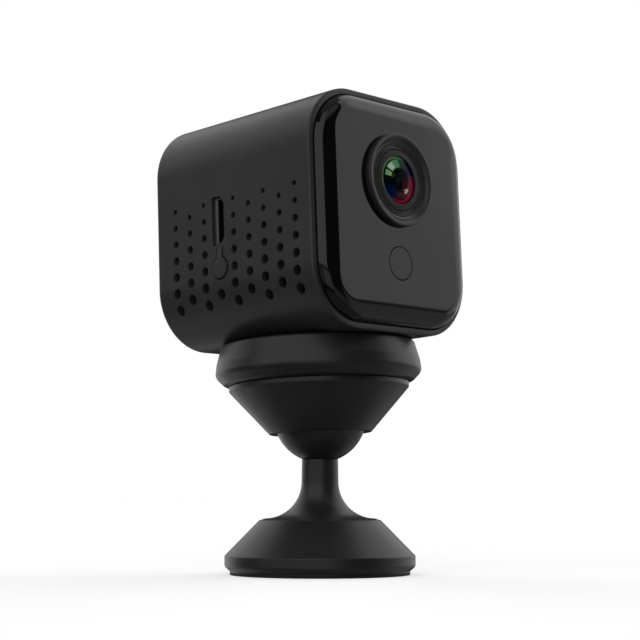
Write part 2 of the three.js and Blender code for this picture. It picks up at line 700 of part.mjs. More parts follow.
const mount = new THREE.Group();
mount.position.z = BALL.height;
mount.rotation.x = -HEAD_TILT;
camera.add(mount);
addMount(mount);
addPuck(mount);

const head = new THREE.Group();
head.position.z = SEAT.bodyBottom + BODY.height / 2;
mount.add(head);
node(head, 'housing_sleeve', housingSleeve(), 'satinBlack');
node(head, 'front_panel', frontPanel(), 'glossBlack');
node(head, 'back_cover', backCover(), 'satinBlack');
addLens(head);
addFrontBoard(head);
addMainBoard(head);
addPowerAndSound(head);
node(head, 'front_button', frontButton(), 'glossBlack');
node(head, 'reset_key', resetKey(), 'satinBlack');
node(head, 'power_slider', powerSlider(), 'satinBlack');

export default camera;
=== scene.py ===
import math

import bmesh
import bpy
from mathutils import Matrix, Vector


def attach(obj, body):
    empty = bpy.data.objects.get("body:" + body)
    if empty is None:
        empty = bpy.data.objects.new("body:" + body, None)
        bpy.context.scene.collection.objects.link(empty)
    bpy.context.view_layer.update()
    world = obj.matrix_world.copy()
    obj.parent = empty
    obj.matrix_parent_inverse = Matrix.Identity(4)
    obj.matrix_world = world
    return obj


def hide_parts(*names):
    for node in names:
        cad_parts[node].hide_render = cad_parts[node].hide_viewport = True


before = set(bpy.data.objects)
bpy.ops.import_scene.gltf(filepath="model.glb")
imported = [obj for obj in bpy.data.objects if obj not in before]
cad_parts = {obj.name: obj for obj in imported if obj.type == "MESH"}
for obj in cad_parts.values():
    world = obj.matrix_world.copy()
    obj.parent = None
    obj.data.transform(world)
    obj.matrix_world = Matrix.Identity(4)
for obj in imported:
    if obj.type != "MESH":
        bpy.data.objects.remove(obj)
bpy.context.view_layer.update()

MM = 0.001

# ---- Camera -----------------------------------------------------------------
# A long lens held low and to the left of the front, tipped up a little, so that the stand stays
# upright and the underside of the head shows.
CAMERA_AZIMUTH = math.radians(-46.03)
CAMERA_DISTANCE = 278.6 * MM
CAMERA_HEIGHT = 12.6 * MM
CAMERA_PITCH = math.radians(6.17)
FOCAL_LENGTH = 92.91

lens_data = bpy.data.cameras.new("camera")
lens_data.lens = FOCAL_LENGTH
lens_data.sensor_width = 36
lens_data.clip_start = 0.01
camera = bpy.data.objects.new("camera", lens_data)
camera.location = (
    CAMERA_DISTANCE * math.sin(CAMERA_AZIMUTH),
    -CAMERA_DISTANCE * math.cos(CAMERA_AZIMUTH),
    CAMERA_HEIGHT,
)
camera.rotation_euler = (math.radians(90) + CAMERA_PITCH, 0, CAMERA_AZIMUTH)
bpy.context.scene.collection.objects.link(camera)
bpy.context.scene.camera = camera

# ---- Studio -----------------------------------------------------------------
# A pale floor inside a soft white tent. The tent is open and black in front, where the camera
# looks in, so the polished panel shows a clean dark border. Its walls are lit unevenly,
# brightest behind and to the right.
FLOOR_HALF = 3.0
FLOOR_COLOUR = (0.93, 0.93, 0.93, 1)
FLOOR_GLOW = 0.53
OPENING_LIGHT = 0.03
# Each wall of the tent: azimuth and half width, height and half height, soft edge, all in
# degrees, and light. Azimuth 0 is the side the panel faces, and positive turns towards its
# right.
TENT_WALLS = {
    "right wall": (77, 37, 37.8, 28.8, 2, 1.05),
    "bright part of the right wall": (86, 33, 38, 28, 12, 1.25),
    "tall lamp": (60, 11, 28, 20, 14, 1.6),
    "low right lamp": (86, 32, 11, 17, 5, 1.1),
    "rear wall": (170, 22, 22, 42, 12, 1.2),
    "rear left wall": (-158, 14, 28, 20, 10, 1.0),
    "left wall": (-78, 47, 26, 20.5, 3, 1.05),
    "front top": (-56, 26, 56, 13, 16, 0.9),
    "middle top": (0, 32, 55, 12, 16, 0.5),
    "low front": (-48, 24, -16, 17, 16, 0.6),
    "low left wall": (-92, 36, -14, 18, 10, 0.25),
    "right floor": (70, 44, -20, 22, 12, 0.42),
    "front floor": (0, 32, -32, 13, 12, 0.28),
    "rear floor": (175, 36, -32, 13, 12, 0.55),
    "floor": (0, 181, -70, 26, 12, 0.18),
    "roof": (0, 181, 80, 16, 12, 0.25),
}


def studio_floor():
    mesh = bpy.data.meshes.new("floor")
    sides = ((-1, -1), (1, -1), (1, 1), (-1, 1))
    mesh.from_pydata([(x * FLOOR_HALF, y * FLOOR_HALF, 0) for x, y in sides], [], [(0, 1, 2, 3)])
    paper = bpy.data.materials.new("white paper")
    paper.use_nodes = True
    shader = paper.node_tree.nodes["Principled BSDF"]
    shader.inputs["Roughness"].default_value = 0.9
    shader.inputs["Base Color"].default_value = FLOOR_COLOUR
    shader.inputs["Emission Color"].default_value = (1, 1, 1, 1)
    shader.inputs["Emission Strength"].default_value = FLOOR_GLOW
    mesh.materials.append(paper)
    floor = bpy.data.objects.new("floor", mesh)
    floor.visible_glossy = False
    floor.visible_diffuse = False
    floor.visible_shadow = False
    bpy.context.scene.collection.objects.link(floor)


def wired(tree, kind, inputs=(), **settings):
    """A new node of a tree, each given input set to a value or linked from a socket."""
    node = tree.nodes.new(kind)
    for setting, value in settings.items():
        setattr(node, setting, value)
    for socket, value in dict(inputs).items():
        if isinstance(value, bpy.types.NodeSocket):
            tree.links.new(value, node.inputs[socket])
        else:
            node.inputs[socket].default_value = value
    return node


def reckoned(tree, operation, *values):
    """The output of a Math node on values or sockets."""
    return wired(tree, "ShaderNodeMath", enumerate(values), operation=operation).outputs[0]


def soft_band(tree, value, half, edge):
    """1 where the value is within half of nought, and 0 past its soft edge."""
    limits = {"From Min": half + edge / 2, "From Max": half - edge / 2}
    fall = wired(tree, "ShaderNodeMapRange", limits, interpolation_type="SMOOTHSTEP")
    tree.links.new(reckoned(tree, "ABSOLUTE", value), fall.inputs["Value"])
    return fall.outputs["Result"]


def studio_tent():
    world = bpy.data.worlds.new("tent")
    world.use_nodes = True
    tree = world.node_tree
    tree.nodes.clear()
    where = wired(tree, "ShaderNodeTexCoord")
    parts = wired(tree, "ShaderNodeSeparateXYZ", {0: where.outputs["Generated"]}).outputs
    azimuth = reckoned(tree, "ARCTAN2", parts["X"], reckoned(tree, "MULTIPLY", parts["Y"], -1.0))
    height = reckoned(tree, "ARCSINE", parts["Z"])
    total = OPENING_LIGHT
    for middle, half, rise, half_rise, edge, light in TENT_WALLS.values():
        turn = reckoned(tree, "SUBTRACT", azimuth, math.radians(middle))
        turn = reckoned(tree, "WRAP", turn, math.pi, -math.pi)
        climb = reckoned(tree, "SUBTRACT", height, math.radians(rise))
        across = soft_band(tree, turn, math.radians(half), math.radians(edge))
        upward = soft_band(tree, climb, math.radians(half_rise), math.radians(edge))
        wall = reckoned(tree, "MULTIPLY", reckoned(tree, "MULTIPLY", across, upward), light)
        total = reckoned(tree, "MAXIMUM", total, wall)
    lit = wired(tree, "ShaderNodeBackground", {"Strength": total})
    seen = wired(tree, "ShaderNodeBackground", {"Color": (1, 1, 1, 1)})
    by_camera = wired(tree, "ShaderNodeLightPath").outputs["Is Camera Ray"]
    pick = wired(tree, "ShaderNodeMixShader", {0: by_camera, 1: lit.outputs[0], 2: seen.outputs[0]})
    wired(tree, "ShaderNodeOutputWorld", {"Surface": pick.outputs[0]})
    bpy.context.scene.world = world
    bpy.context.scene.view_settings.view_transform = "Standard"


studio_floor()
studio_tent()

# ---- Foot pad ---------------------------------------------------------------
# A disc of soft black rubber stuck under the base. It is punched from sheet, so its edge is
# square with a slight softness, and its underside has shallow grip rings.
TURN_STEPS = 144
POLE = 1e-6
LEAD = 1.3
STAND = Matrix.Diagonal((MM, MM, MM, 1))
PAD_RADIUS = 15.04
PAD_THICK = 0.42
PAD_RING_DEEP = 0.06
BROAD_GRAIN = 140


def softened(corners, steps=5):
    """An outline of (a, b, cut) corners as points, each corner rounded off over the length cut.

    A point at LEAD times the cut, on each side, keeps the shading of the flats flat.
    """
    points = []
    count = len(corners)
    for i, (a, b, cut) in enumerate(corners):
        here = Vector((a, b))
        if cut == 0:
            points.append(here)
            continue
        before = (Vector(corners[i - 1][:2]) - here).normalized()
        after = (Vector(corners[(i + 1) % count][:2]) - here).normalized()
        start, end = here + before * cut, here + after * cut
        points.append(here + before * cut * LEAD)
        for s in range(steps + 1):
            t = s / steps
            points.append(start * (1 - t) ** 2 + here * 2 * t * (1 - t) + end * t ** 2)
        points.append(here + after * cut * LEAD)
    return points


def turned(outline, steps=TURN_STEPS):
    """A closed (radius, height) outline turned round Z. A radius of 0 makes a pole."""
    bm = bmesh.new()
    rings = []
    for r, h in outline:
        if r < POLE:
            rings.append([bm.verts.new((0, 0, h))])
            continue
        ring = []
        for s in range(steps):
            angle = 2 * math.pi * s / steps
            ring.append(bm.verts.new((r * math.cos(angle), r * math.sin(angle), h)))
        rings.append(ring)
    for ring, following in zip(rings, rings[1:] + rings[:1]):
        for s in range(steps):
            n = (s + 1) % steps
            if len(ring) == 1 and len(following) == 1:
                break
            if len(ring) == 1:
                bm.faces.new((ring[0], following[n], following[s]))
            elif len(following) == 1:
                bm.faces.new((ring[s], ring[n], following[0]))
            else:
                bm.faces.new((ring[s], ring[n], following[n], following[s]))
    bmesh.ops.recalc_face_normals(bm, faces=bm.faces)
    return bm


def piece(name, bm, place, material, body, replaces=(), sharp=35):
    """A finished piece made of a bmesh in millimetres, put in place and handed to the frame."""
    mesh = bpy.data.meshes.new(name)
    bm.transform(place)
    bm.to_mesh(mesh)
    bm.free()
    mesh.materials.append(material)
    mesh.shade_smooth()
    mesh.set_sharp_from_angle(angle=math.radians(sharp))
    made = bpy.data.objects.new(name, mesh)
    bpy.context.scene.collection.objects.link(made)
    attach(made, body)
    if replaces:
        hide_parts(*replaces)
    return made


def moulded(
    name, colour, roughness, metallic=0.0, mottle=0.12, grain=9000, depth=0.004, spread=0.05,
    **sockets,
):
    """A material whose colour drifts by mottle and its roughness by spread, over a fine grain.

    The grain is also a bump of depth millimetres. Sockets are any others of the shader's own.
    """
    made = bpy.data.materials.new(name)
    made.use_nodes = True
    tree = made.node_tree
    shader = tree.nodes["Principled BSDF"]
    shader.inputs["Metallic"].default_value = metallic
    for socket, value in sockets.items():
        shader.inputs[socket.replace("_", " ")].default_value = value
    place = wired(tree, "ShaderNodeTexCoord").outputs["Object"]
    noises = []
    for scale, detail in ((BROAD_GRAIN, 4), (grain, 2)):
        sizes = {"Vector": place, "Scale": scale, "Detail": detail}
        noises.append(wired(tree, "ShaderNodeTexNoise", sizes).outputs["Fac"])
    broad, fine = noises
    tint = wired(tree, "ShaderNodeValToRGB", {"Fac": broad})
    shades = ((0.3, 1 - mottle), (0.7, 1 + mottle))
    for element, (position, shade) in zip(tint.color_ramp.elements, shades):
        element.position = position
        element.color = [min(1, c * shade) for c in colour] + [1]
    rough = wired(tree, "ShaderNodeMapRange", {
        "Value": fine, "To Min": max(0.01, roughness - spread), "To Max": roughness + spread,
    })
    bump = wired(tree, "ShaderNodeBump", {"Height": fine, "Strength": 0.6, "Distance": depth * MM})
    tree.links.new(tint.outputs["Color"], shader.inputs["Base Color"])
    tree.links.new(rough.outputs["Result"], shader.inputs["Roughness"])
    tree.links.new(bump.outputs["Normal"], shader.inputs["Normal"])
    return made


rubber = moulded("soft black rubber", (0.012, 0.012, 0.012), 0.75, grain=5000, depth=0.01)
pad_outline = [(0, 0, 0)]
for ring in range(4, 15, 2):
    pad_outline += [
        (ring - 0.25, 0, 0), (ring - 0.15, PAD_RING_DEEP, 0),
        (ring + 0.15, PAD_RING_DEEP, 0), (ring + 0.25, 0, 0),
    ]
pad_outline += [(PAD_RADIUS, 0, 0.05), (PAD_RADIUS, PAD_THICK, 0.05), (0, PAD_THICK, 0)]
pad = turned(softened(pad_outline))
piece("foot_pad_rubber", pad, STAND, rubber, "stand", ["foot_pad"])

# ---- Stand base -------------------------------------------------------------
# One moulding of satin black plastic: a broad rim, a cone with a crisp upper edge, and a flare
# that runs up into the thin neck. It is hollow below, with a bore up the neck for the ball's
# shank.
BALL_HEIGHT = 26.45
BALL_RADIUS = 7.84
NECK_RADIUS = 3.1
BORE_RADIUS = 2.1
BASE_RADIUS = 15.95
FLARE_RADIUS = 6.1
FLARE_HEIGHT = 15.4
RECESS_RADIUS = 13.8
RECESS_CEILING = 5.2
BALL_CLEARANCE = 0.1
FLARE_STEPS = 36

satin_black = moulded("satin black moulding", (0.022, 0.022, 0.0225), 0.37, grain=7000, depth=0.005)


def base_outline():
    """The base from its lower rim, up the outside and down the bore."""
    seat = BALL_HEIGHT - BALL_CLEARANCE
    under_ball = seat - math.sqrt(BALL_RADIUS ** 2 - NECK_RADIUS ** 2)
    in_ball = seat - math.sqrt(BALL_RADIUS ** 2 - BORE_RADIUS ** 2)
    outer = [
        (RECESS_RADIUS, 0.46, 0), (15.05, 0.46, 0.04), (15.05, 0.6, 0), (15.82, 1.27, 0.12),
        (BASE_RADIUS, 1.62, 0.12), (BASE_RADIUS, 3.12, 0.12), (10.15, 9.05, 0.07),
    ]
    points = softened(outer)
    for s in range(FLARE_STEPS + 1):
        angle = math.radians(270 - 90 * s / FLARE_STEPS)
        points.append(Vector((
            NECK_RADIUS + FLARE_RADIUS + FLARE_RADIUS * math.cos(angle),
            FLARE_HEIGHT + FLARE_RADIUS * math.sin(angle),
        )))
    points += softened([(NECK_RADIUS, under_ball, 0.05), (BORE_RADIUS, in_ball, 0.05)])
    points += [Vector(p) for p in (
        (BORE_RADIUS, RECESS_CEILING), (RECESS_RADIUS - 3, RECESS_CEILING), (RECESS_RADIUS, 3),
    )]
    return points


base = turned(base_outline())
piece("stand_base_moulding", base, STAND, satin_black, "stand", ["stand_base"])

# ---- Plate and magnet in the base -------------------------------------------
# A pressed steel disc closes the base, and a ring magnet over it holds the stand to steel. Both
# are hidden once the pad is on; the magnet is nickel plated.
plated_steel = moulded(
    "plated steel", (0.5, 0.5, 0.51), 0.3, 1.0, mottle=0.06, grain=2500, depth=0.003,
)
nickel_plate = moulded(
    "nickel plate", (0.6, 0.59, 0.56), 0.2, 1.0, mottle=0.05, grain=1500, depth=0.002,
)


def finish_node(material, *names):
    """Gives CAD nodes that stay as they are their own material."""
    for name in names:
        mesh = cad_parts[name].data
        mesh.materials.clear()
        mesh.materials.append(material)


finish_node(plated_steel, "base_plate")
finish_node(nickel_plate, "base_magnet")

# ---- Ball stud --------------------------------------------------------------
# A moulded ball, a little smoother than the base, on a shank that turns in the neck. A screw
# and a washer hold it from below.
SHANK_RADIUS = 2.0
SHANK_END = RECESS_CEILING + 0.3
SCREW_HOLE = 1.3
BALL_STEPS = 64

ball_black = moulded("smooth black ball", (0.02, 0.02, 0.0205), 0.35, grain=7000, depth=0.004)


def ball_outline():
    lowest = -math.acos(SHANK_RADIUS / BALL_RADIUS)
    points = []
    for s in range(BALL_STEPS + 1):
        angle = lowest + (math.pi / 2 - lowest) * s / BALL_STEPS
        radius, height = BALL_RADIUS * math.cos(angle), BALL_RADIUS * math.sin(angle)
        points.append(Vector((radius, BALL_HEIGHT + height)))
    points[-1].x = 0
    hole = ((0, 14), (SCREW_HOLE, 13), (SCREW_HOLE, SHANK_END), (SHANK_RADIUS, SHANK_END))
    return points + [Vector(p) for p in hole]


ball = turned(ball_outline())
piece("ball_on_shank", ball, STAND, ball_black, "ball", ["ball_stud"])
finish_node(plated_steel, "stud_washer", "stud_screw")

# ---- Socket cone ------------------------------------------------------------
# The lower half of the ball's socket, a conical moulding with a short upright lip. It leans
# back with the head, and its mouth hugs the ball below the middle. A cup and a wave spring
# inside press on the ball.
HEAD_TILT = math.radians(-2.73)
MOUNT = Matrix.Translation((0, 0, BALL_HEIGHT * MM)) @ Matrix.Rotation(HEAD_TILT, 4, "X") @ STAND
SEAT_RADIUS = BALL_RADIUS + BALL_CLEARANCE
LIP_RADIUS = 15.2
SPIGOT_RADIUS = 12.9
MOUTH_DROP = 2.93
SEAT_STEPS = 16


def cone_outline():
    mouth = math.asin(-MOUTH_DROP / SEAT_RADIUS)
    outer = [
        (8.6, -MOUTH_DROP, 0.08), (LIP_RADIUS, 4.4, 0.12), (LIP_RADIUS, 5.2, 0.08),
        (SPIGOT_RADIUS, 5.2, 0), (SPIGOT_RADIUS, 8.8, 0), (8.9, 8.8, 0), (8.9, 0.5, 0),
        (SEAT_RADIUS, 0.5, 0),
    ]
    seat = []
    for s in range(SEAT_STEPS + 1):
        angle = mouth * s / SEAT_STEPS
        seat.append((SEAT_RADIUS * math.cos(angle), SEAT_RADIUS * math.sin(angle), 0))
    return softened(outer + seat)


cone = turned(cone_outline())
piece("socket_cone_moulding", cone, MOUNT, satin_black, "mount", ["socket_cone"])
inner_grey = moulded("dark grey nylon", (0.05, 0.052, 0.055), 0.55, grain=4000, depth=0.006)
finish_node(inner_grey, "friction_cup")
finish_node(plated_steel, "cup_spring")

# ---- Collar -----------------------------------------------------------------
# The upper half of the mount, screwed down over the cone's spigot. Its wall swells to a soft
# crease below the middle and tucks in under it, and it holds the magnet and the grip pad that
# the head sits on.
COLLAR_TOP = 12.1


def collar_outline():
    return softened([
        (13.1, COLLAR_TOP, 0), (16.05, COLLAR_TOP, 0.12), (16.4, 11.85, 0.15),
        (17.2, 8.95, 0.2), (17.42, 7.3, 0.3), (17.2, 6.7, 0.25), (16.1, 5.55, 0.25),
        (15.35, 5.28, 0.1), (13, 5.28, 0), (13, 9.4, 0), (0, 9.4, 0), (0, 10, 0), (13.1, 10, 0),
    ])


collar = turned(collar_outline())
piece("collar_moulding", collar, MOUNT, satin_black, "mount", ["collar"])
finish_node(nickel_plate, "mount_magnet")
finish_node(rubber, "grip_pad")

# ---- Housing sleeve ---------------------------------------------------------
# The body of the head, one tube of fine-grained matt plastic with round corners. Both side
# walls are perforated in staggered columns whose holes grow downwards. The left wall has the
# port's opening and the groove round the reset key; the right wall has the card slot and the
# switch's slot.
HEAD = MOUNT @ Matrix.Translation((0, 0, 31.8))
BODY_WIDTH = 37
BODY_HEIGHT = 39.2
BODY_CORNER = 10
BODY_FRONT = -17.4
BODY_BACK = 19.4
WALL = 1.4
RIM = 0.97
FRONT_POCKET = 3.4
BACK_POCKET = 1.8
ARC_STEPS = 24
FLAT_END = 0.25
FACE = BODY_WIDTH / 2
MOUTH = 0.1

PORT_Z = 0.17
PORT_LENGTH = 8.1
PORT_FRONT = 2.65
PORT_BACK = 5.51

KEY_Y = 3.8
KEY_Z = -7.75
KEY_RADIUS = 1.75
KEY_NECK = 1.1
KEY_ROOT = -4.6
KEY_GROOVE = 0.2
KEY_PROUD = 0.2
KEY_OVER_ROOT = 0.5
KEY_STEPS = 48

# Each slot: place in y and z, width, length, rounding of its corners.
CARD_SLOT = (3.65, 2.8, 1.7, 12.2, 0.8)
SWITCH_SLOT = (4.1, -7, 2.0, 4.6, 0.3)

housing_black = moulded(
    "matt black housing", (0.042, 0.042, 0.0425), 0.37, grain=9000, depth=0.006,
)


def body_outline(inset, corner=None):
    """The body's rounded outline in (x, z), taken in by inset.

    Close points where flats meet corners keep the shading of the flats flat.
    """
    half_x, half_z = BODY_WIDTH / 2 - inset, BODY_HEIGHT / 2 - inset
    radius = corner or BODY_CORNER - inset
    points = []
    for quarter, (side_x, side_z) in enumerate([(1, 1), (-1, 1), (-1, -1), (1, -1)]):
        centre = Vector((side_x * (half_x - radius), side_z * (half_z - radius)))
        arc = []
        for s in range(ARC_STEPS + 1):
            angle = (quarter + s / ARC_STEPS) * math.pi / 2
            arc.append(centre + radius * Vector((math.cos(angle), math.sin(angle))))
        start, end = quarter * math.pi / 2, (quarter + 1) * math.pi / 2
        arc.insert(0, arc[0] - FLAT_END * Vector((-math.sin(start), math.cos(start))))
        arc.append(arc[-1] + FLAT_END * Vector((-math.sin(end), math.cos(end))))
        points += arc
    return points


def skinned(rings, closed=False):
    """A bmesh over rings of points, joined on into the first ring or capped at both ends."""
    bm = bmesh.new()
    rings = [[bm.verts.new(point) for point in ring] for ring in rings]
    pairs = list(zip(rings, rings[1:]))
    if closed:
        pairs.append((rings[-1], rings[0]))
    for ring, following in pairs:
        for i in range(len(ring)):
            n = (i + 1) % len(ring)
            bm.faces.new((ring[i], ring[n], following[n], following[i]))
    if not closed:
        bm.faces.new(rings[0])
        bm.faces.new(rings[-1])
    bmesh.ops.recalc_face_normals(bm, faces=bm.faces)
    return bm


def swept(section, closed=True):
    """The body's outline carried along a section of (inset, y) points, or (inset, y, corner)."""
    return skinned([
        [(p.x, y, p.y) for p in body_outline(inset, *corner)] for inset, y, *corner in section
    ], closed)


def prism(outline, low, high, axis):
    """A flat outline pushed along X or Y: the outline is in (y, z) or in (x, z)."""
    if axis == "X":
        return skinned([[(depth, a, b) for a, b in outline] for depth in (low, high)])
    return skinned([[(a, depth, b) for a, b in outline] for depth in (low, high)])


def circle(centre_a, centre_b, radius, steps=64):
    angles = [2 * math.pi * s / steps for s in range(steps)]
    return [(centre_a + radius * math.cos(a), centre_b + radius * math.sin(a)) for a in angles]


def joined(*parts):
    """Several bmeshes as one, their shells left apart."""
    whole = bmesh.new()
    for part in parts:
        mesh = bpy.data.meshes.new("part")
        part.to_mesh(mesh)
        part.free()
        whole.from_mesh(mesh)
        bpy.data.meshes.remove(mesh)
    return whole


def workshop_object(name, bm):
    """An unfinished object that a tree works on, in millimetres."""
    mesh = bpy.data.meshes.new(name)
    bm.to_mesh(mesh)
    bm.free()
    made = bpy.data.objects.new(name, mesh)
    bpy.context.scene.collection.objects.link(made)
    return made


def run_tree(host, tree, values):
    """Runs a tree on a workshop object with its named inputs; the plain result is a bmesh."""
    modifier = host.modifiers.new(tree.name, "NODES")
    modifier.node_group = tree
    for item in tree.interface.items_tree:
        if item.item_type == "SOCKET" and item.in_out == "INPUT" and item.name in values:
            modifier[item.identifier] = values[item.name]
    bpy.context.view_layer.update()
    graph = bpy.context.evaluated_depsgraph_get()
    mesh = bpy.data.meshes.new_from_object(host.evaluated_get(graph))
    bm = bmesh.new()
    bm.from_mesh(mesh)
    host.modifiers.remove(modifier)
    bpy.data.meshes.remove(mesh)
    bpy.data.objects.remove(host)
    return bm


def tree_with(name, inputs):
    """A new tree with a Geometry input and output and the named inputs, and its input sockets."""
    tree = bpy.data.node_groups.new(name, "GeometryNodeTree")
    for label, kind in {"Geometry": "Geometry", **inputs}.items():
        tree.interface.new_socket(label, in_out="INPUT", socket_type="NodeSocket" + kind)
    tree.interface.new_socket("Geometry", in_out="OUTPUT", socket_type="NodeSocketGeometry")
    return tree, wired(tree, "NodeGroupInput").outputs


def finish_tree(tree, geometry, material):
    """Ends a tree: its copies made real, and its material set."""
    whole = wired(tree, "GeometryNodeRealizeInstances", {0: geometry})
    coat = wired(tree, "GeometryNodeSetMaterial", {0: whole.outputs[0], "Material": material})
    wired(tree, "NodeGroupOutput", {0: coat.outputs[0]})


def cut_away(tree, solid, *tools):
    """The solid less its tools, in a tree."""
    cut = wired(
        tree, "GeometryNodeMeshBoolean", {"Mesh 1": solid}, operation="DIFFERENCE", solver="EXACT",
    )
    for tool in tools:
        tree.links.new(tool, cut.inputs["Mesh 2"])
    return cut.outputs[0]


def perforation_tree():
    """Cuts columns of holes, every other column half a row lower, and the given slots."""
    tree, value = tree_with("perforated side walls", {
        "Slots": "Object", "Drill": "Object", "Material": "Material",
        "Columns": "Int", "Rows": "Int", "First column": "Float", "Column pitch": "Float",
        "Top row": "Float", "Row pitch": "Float", "Least radius": "Float",
        "Growth per row": "Float", "Rows that grow": "Float", "Port column": "Int",
    })

    def reckon(operation, *values):
        return reckoned(tree, operation, *values)

    index = wired(tree, "GeometryNodeInputIndex").outputs[0]
    column = reckon("FLOOR", reckon("DIVIDE", reckon("ADD", index, 0.5), value["Rows"]))
    row = reckon("SUBTRACT", index, reckon("MULTIPLY", column, value["Rows"]))
    lowered = reckon("MULTIPLY", reckon("MODULO", column, 2.0), 0.5)
    line = reckon("ADD", row, lowered)
    back = reckon("MULTIPLY", column, value["Column pitch"])
    down = reckon("MULTIPLY", line, value["Row pitch"])
    place = wired(tree, "ShaderNodeCombineXYZ", {
        "Y": reckon("SUBTRACT", value["First column"], back),
        "Z": reckon("SUBTRACT", value["Top row"], down),
    })
    points = wired(tree, "GeometryNodePoints", {
        "Count": reckon("MULTIPLY", value["Columns"], value["Rows"]), "Position": place.outputs[0],
    })
    growing = reckon("MINIMUM", line, value["Rows that grow"])
    growth = reckon("MULTIPLY", growing, value["Growth per row"])
    sized = wired(tree, "GeometryNodeStoreNamedAttribute", {
        "Geometry": points.outputs[0], "Name": "hole_radius",
        "Value": reckon("ADD", value["Least radius"], growth),
    }, data_type="FLOAT", domain="POINT")

    last = reckon("SUBTRACT", value["Rows"], 1.0)
    too_low = reckon("GREATER_THAN", line, reckon("ADD", last, 0.1))
    in_port = reckon("COMPARE", column, value["Port column"])
    above_last = reckon("LESS_THAN", line, reckon("SUBTRACT", last, 0.6))
    blocked = reckon("MULTIPLY", in_port, above_last)
    kept = wired(tree, "GeometryNodeDeleteGeometry", {
        "Geometry": sized.outputs[0], "Selection": reckon("MAXIMUM", too_low, blocked),
    })
    read = wired(
        tree, "GeometryNodeInputNamedAttribute", {"Name": "hole_radius"}, data_type="FLOAT",
    ).outputs["Attribute"]
    size = wired(tree, "ShaderNodeCombineXYZ", {"X": read, "Y": read, "Z": 1})
    drill = wired(tree, "GeometryNodeObjectInfo", {"Object": value["Drill"]})
    drills = wired(tree, "GeometryNodeInstanceOnPoints", {
        "Points": kept.outputs[0], "Instance": drill.outputs["Geometry"],
        "Rotation": (0, math.radians(90), 0), "Scale": size.outputs[0],
    })
    holes = wired(tree, "GeometryNodeRealizeInstances", {0: drills.outputs[0]})
    slots = wired(tree, "GeometryNodeObjectInfo", {"Object": value["Slots"]})
    cut = cut_away(tree, value["Geometry"], holes.outputs[0], slots.outputs["Geometry"])
    finish_tree(tree, cut, value["Material"])
    return tree


def sleeve_section():
    inner_front = BODY_FRONT + FRONT_POCKET
    inner_back = BODY_BACK - BACK_POCKET
    return softened([
        (0, BODY_FRONT, 0.4), (0, BODY_BACK, 0.55), (RIM, BODY_BACK, 0.07), (RIM, inner_back, 0),
        (WALL, inner_back, 0), (WALL, inner_front, 0), (RIM, inner_front, 0),
        (RIM, BODY_FRONT, 0.07),
    ])


def port_outline(length, front, back, slope_y, slope_z):
    """Square corners at the back and sloped ones at the front."""
    low, high = PORT_Z - length / 2, PORT_Z + length / 2
    corners = [
        (front, low + slope_z, 0.3), (front + slope_y, low, 0.25), (back, low, 0.3),
        (back, high, 0.3), (front + slope_y, high, 0.25), (front, high - slope_z, 0.3),
    ]
    return [tuple(p) for p in softened(corners)]


def key_outline(grow):
    """A round head with a short straight neck; the key's own neck runs past its groove's end."""
    radius = KEY_RADIUS + grow
    half = KEY_NECK / 2 + grow
    meet = math.asin(half * 1.25 / radius)
    shoulder = KEY_Z + radius * math.cos(meet) + 0.45
    root = KEY_ROOT + (grow or KEY_OVER_ROOT)
    outline = [(KEY_Y - half, root), (KEY_Y - half, shoulder)]
    for s in range(KEY_STEPS + 1):
        angle = math.pi / 2 + meet + (2 * math.pi - 2 * meet) * s / KEY_STEPS
        outline.append((KEY_Y + radius * math.cos(angle), KEY_Z + radius * math.sin(angle)))
    return outline + [(KEY_Y + half, shoulder), (KEY_Y + half, root)]


def slot_outline(y, z, width, length, corner):
    sides = ((1, 1), (-1, 1), (-1, -1), (1, -1))
    corners = [(y + sy * width / 2, z + sz * length / 2, corner) for sy, sz in sides]
    return [tuple(p) for p in softened(corners)]


def flared(outline, side):
    """A cutter through one side wall whose mouth opens out, as the edge of a moulded hole does."""
    centre = sum((Vector(p) for p in outline), Vector((0, 0))) / len(outline)
    rings = []
    inside, past = FACE - WALL - 1, FACE + 0.05
    for depth, grow in ((inside, 0), (FACE - MOUTH, 0), (FACE - MOUTH * 0.3, 0.3), (past, 1.3)):
        ring = []
        for i, point in enumerate(outline):
            before, after = Vector(outline[i - 1]), Vector(outline[(i + 1) % len(outline)])
            along = (after - before).normalized()
            out = Vector((along.y, -along.x))
            # Outlines run either way round, so a direction that clearly points inwards is turned.
            if out.dot(Vector(point) - centre) < -0.6:
                out = -out
            spot = Vector(point) + out * MOUTH * grow
            ring.append((side * depth, spot.x, spot.y))
        rings.append(ring)
    return skinned(rings)


def drill():
    """A drill of radius 1 through both walls, flared at their faces."""
    tip = 30
    half = [
        (1, 0), (1, FACE - MOUTH), (1.05, FACE - MOUTH * 0.3), (1.2, FACE + 0.08), (1.2, tip),
        (0, tip),
    ]
    mirrored = [(r, -h) for r, h in half[::-1][:-1]]
    return turned([Vector(p) for p in mirrored + half[1:]], 24)


slots = workshop_object("slots", joined(
    flared(port_outline(PORT_LENGTH, PORT_FRONT, PORT_BACK, 0.85, 1.2), -1),
    flared(key_outline(KEY_GROOVE), -1),
    flared(slot_outline(*CARD_SLOT), 1),
    flared(slot_outline(*SWITCH_SLOT), 1),
))
drill_tool = workshop_object("drill", drill())
sleeve = run_tree(workshop_object("sleeve", swept(sleeve_section())), perforation_tree(), {
    "Slots": slots, "Drill": drill_tool, "Material": housing_black, "Columns": 9, "Rows": 7,
    "First column": 14.6, "Column pitch": 3.55, "Top row": 3.3, "Row pitch": 2.8,
    "Least radius": 0.41, "Growth per row": 0.083, "Rows that grow": 5.5, "Port column": 3,
})
bpy.data.objects.remove(slots)
bpy.data.objects.remove(drill_tool)
piece(
    "housing_sleeve_perforated", sleeve, HEAD, housing_black, "head",
    ["housing_sleeve"], sharp=30,
)

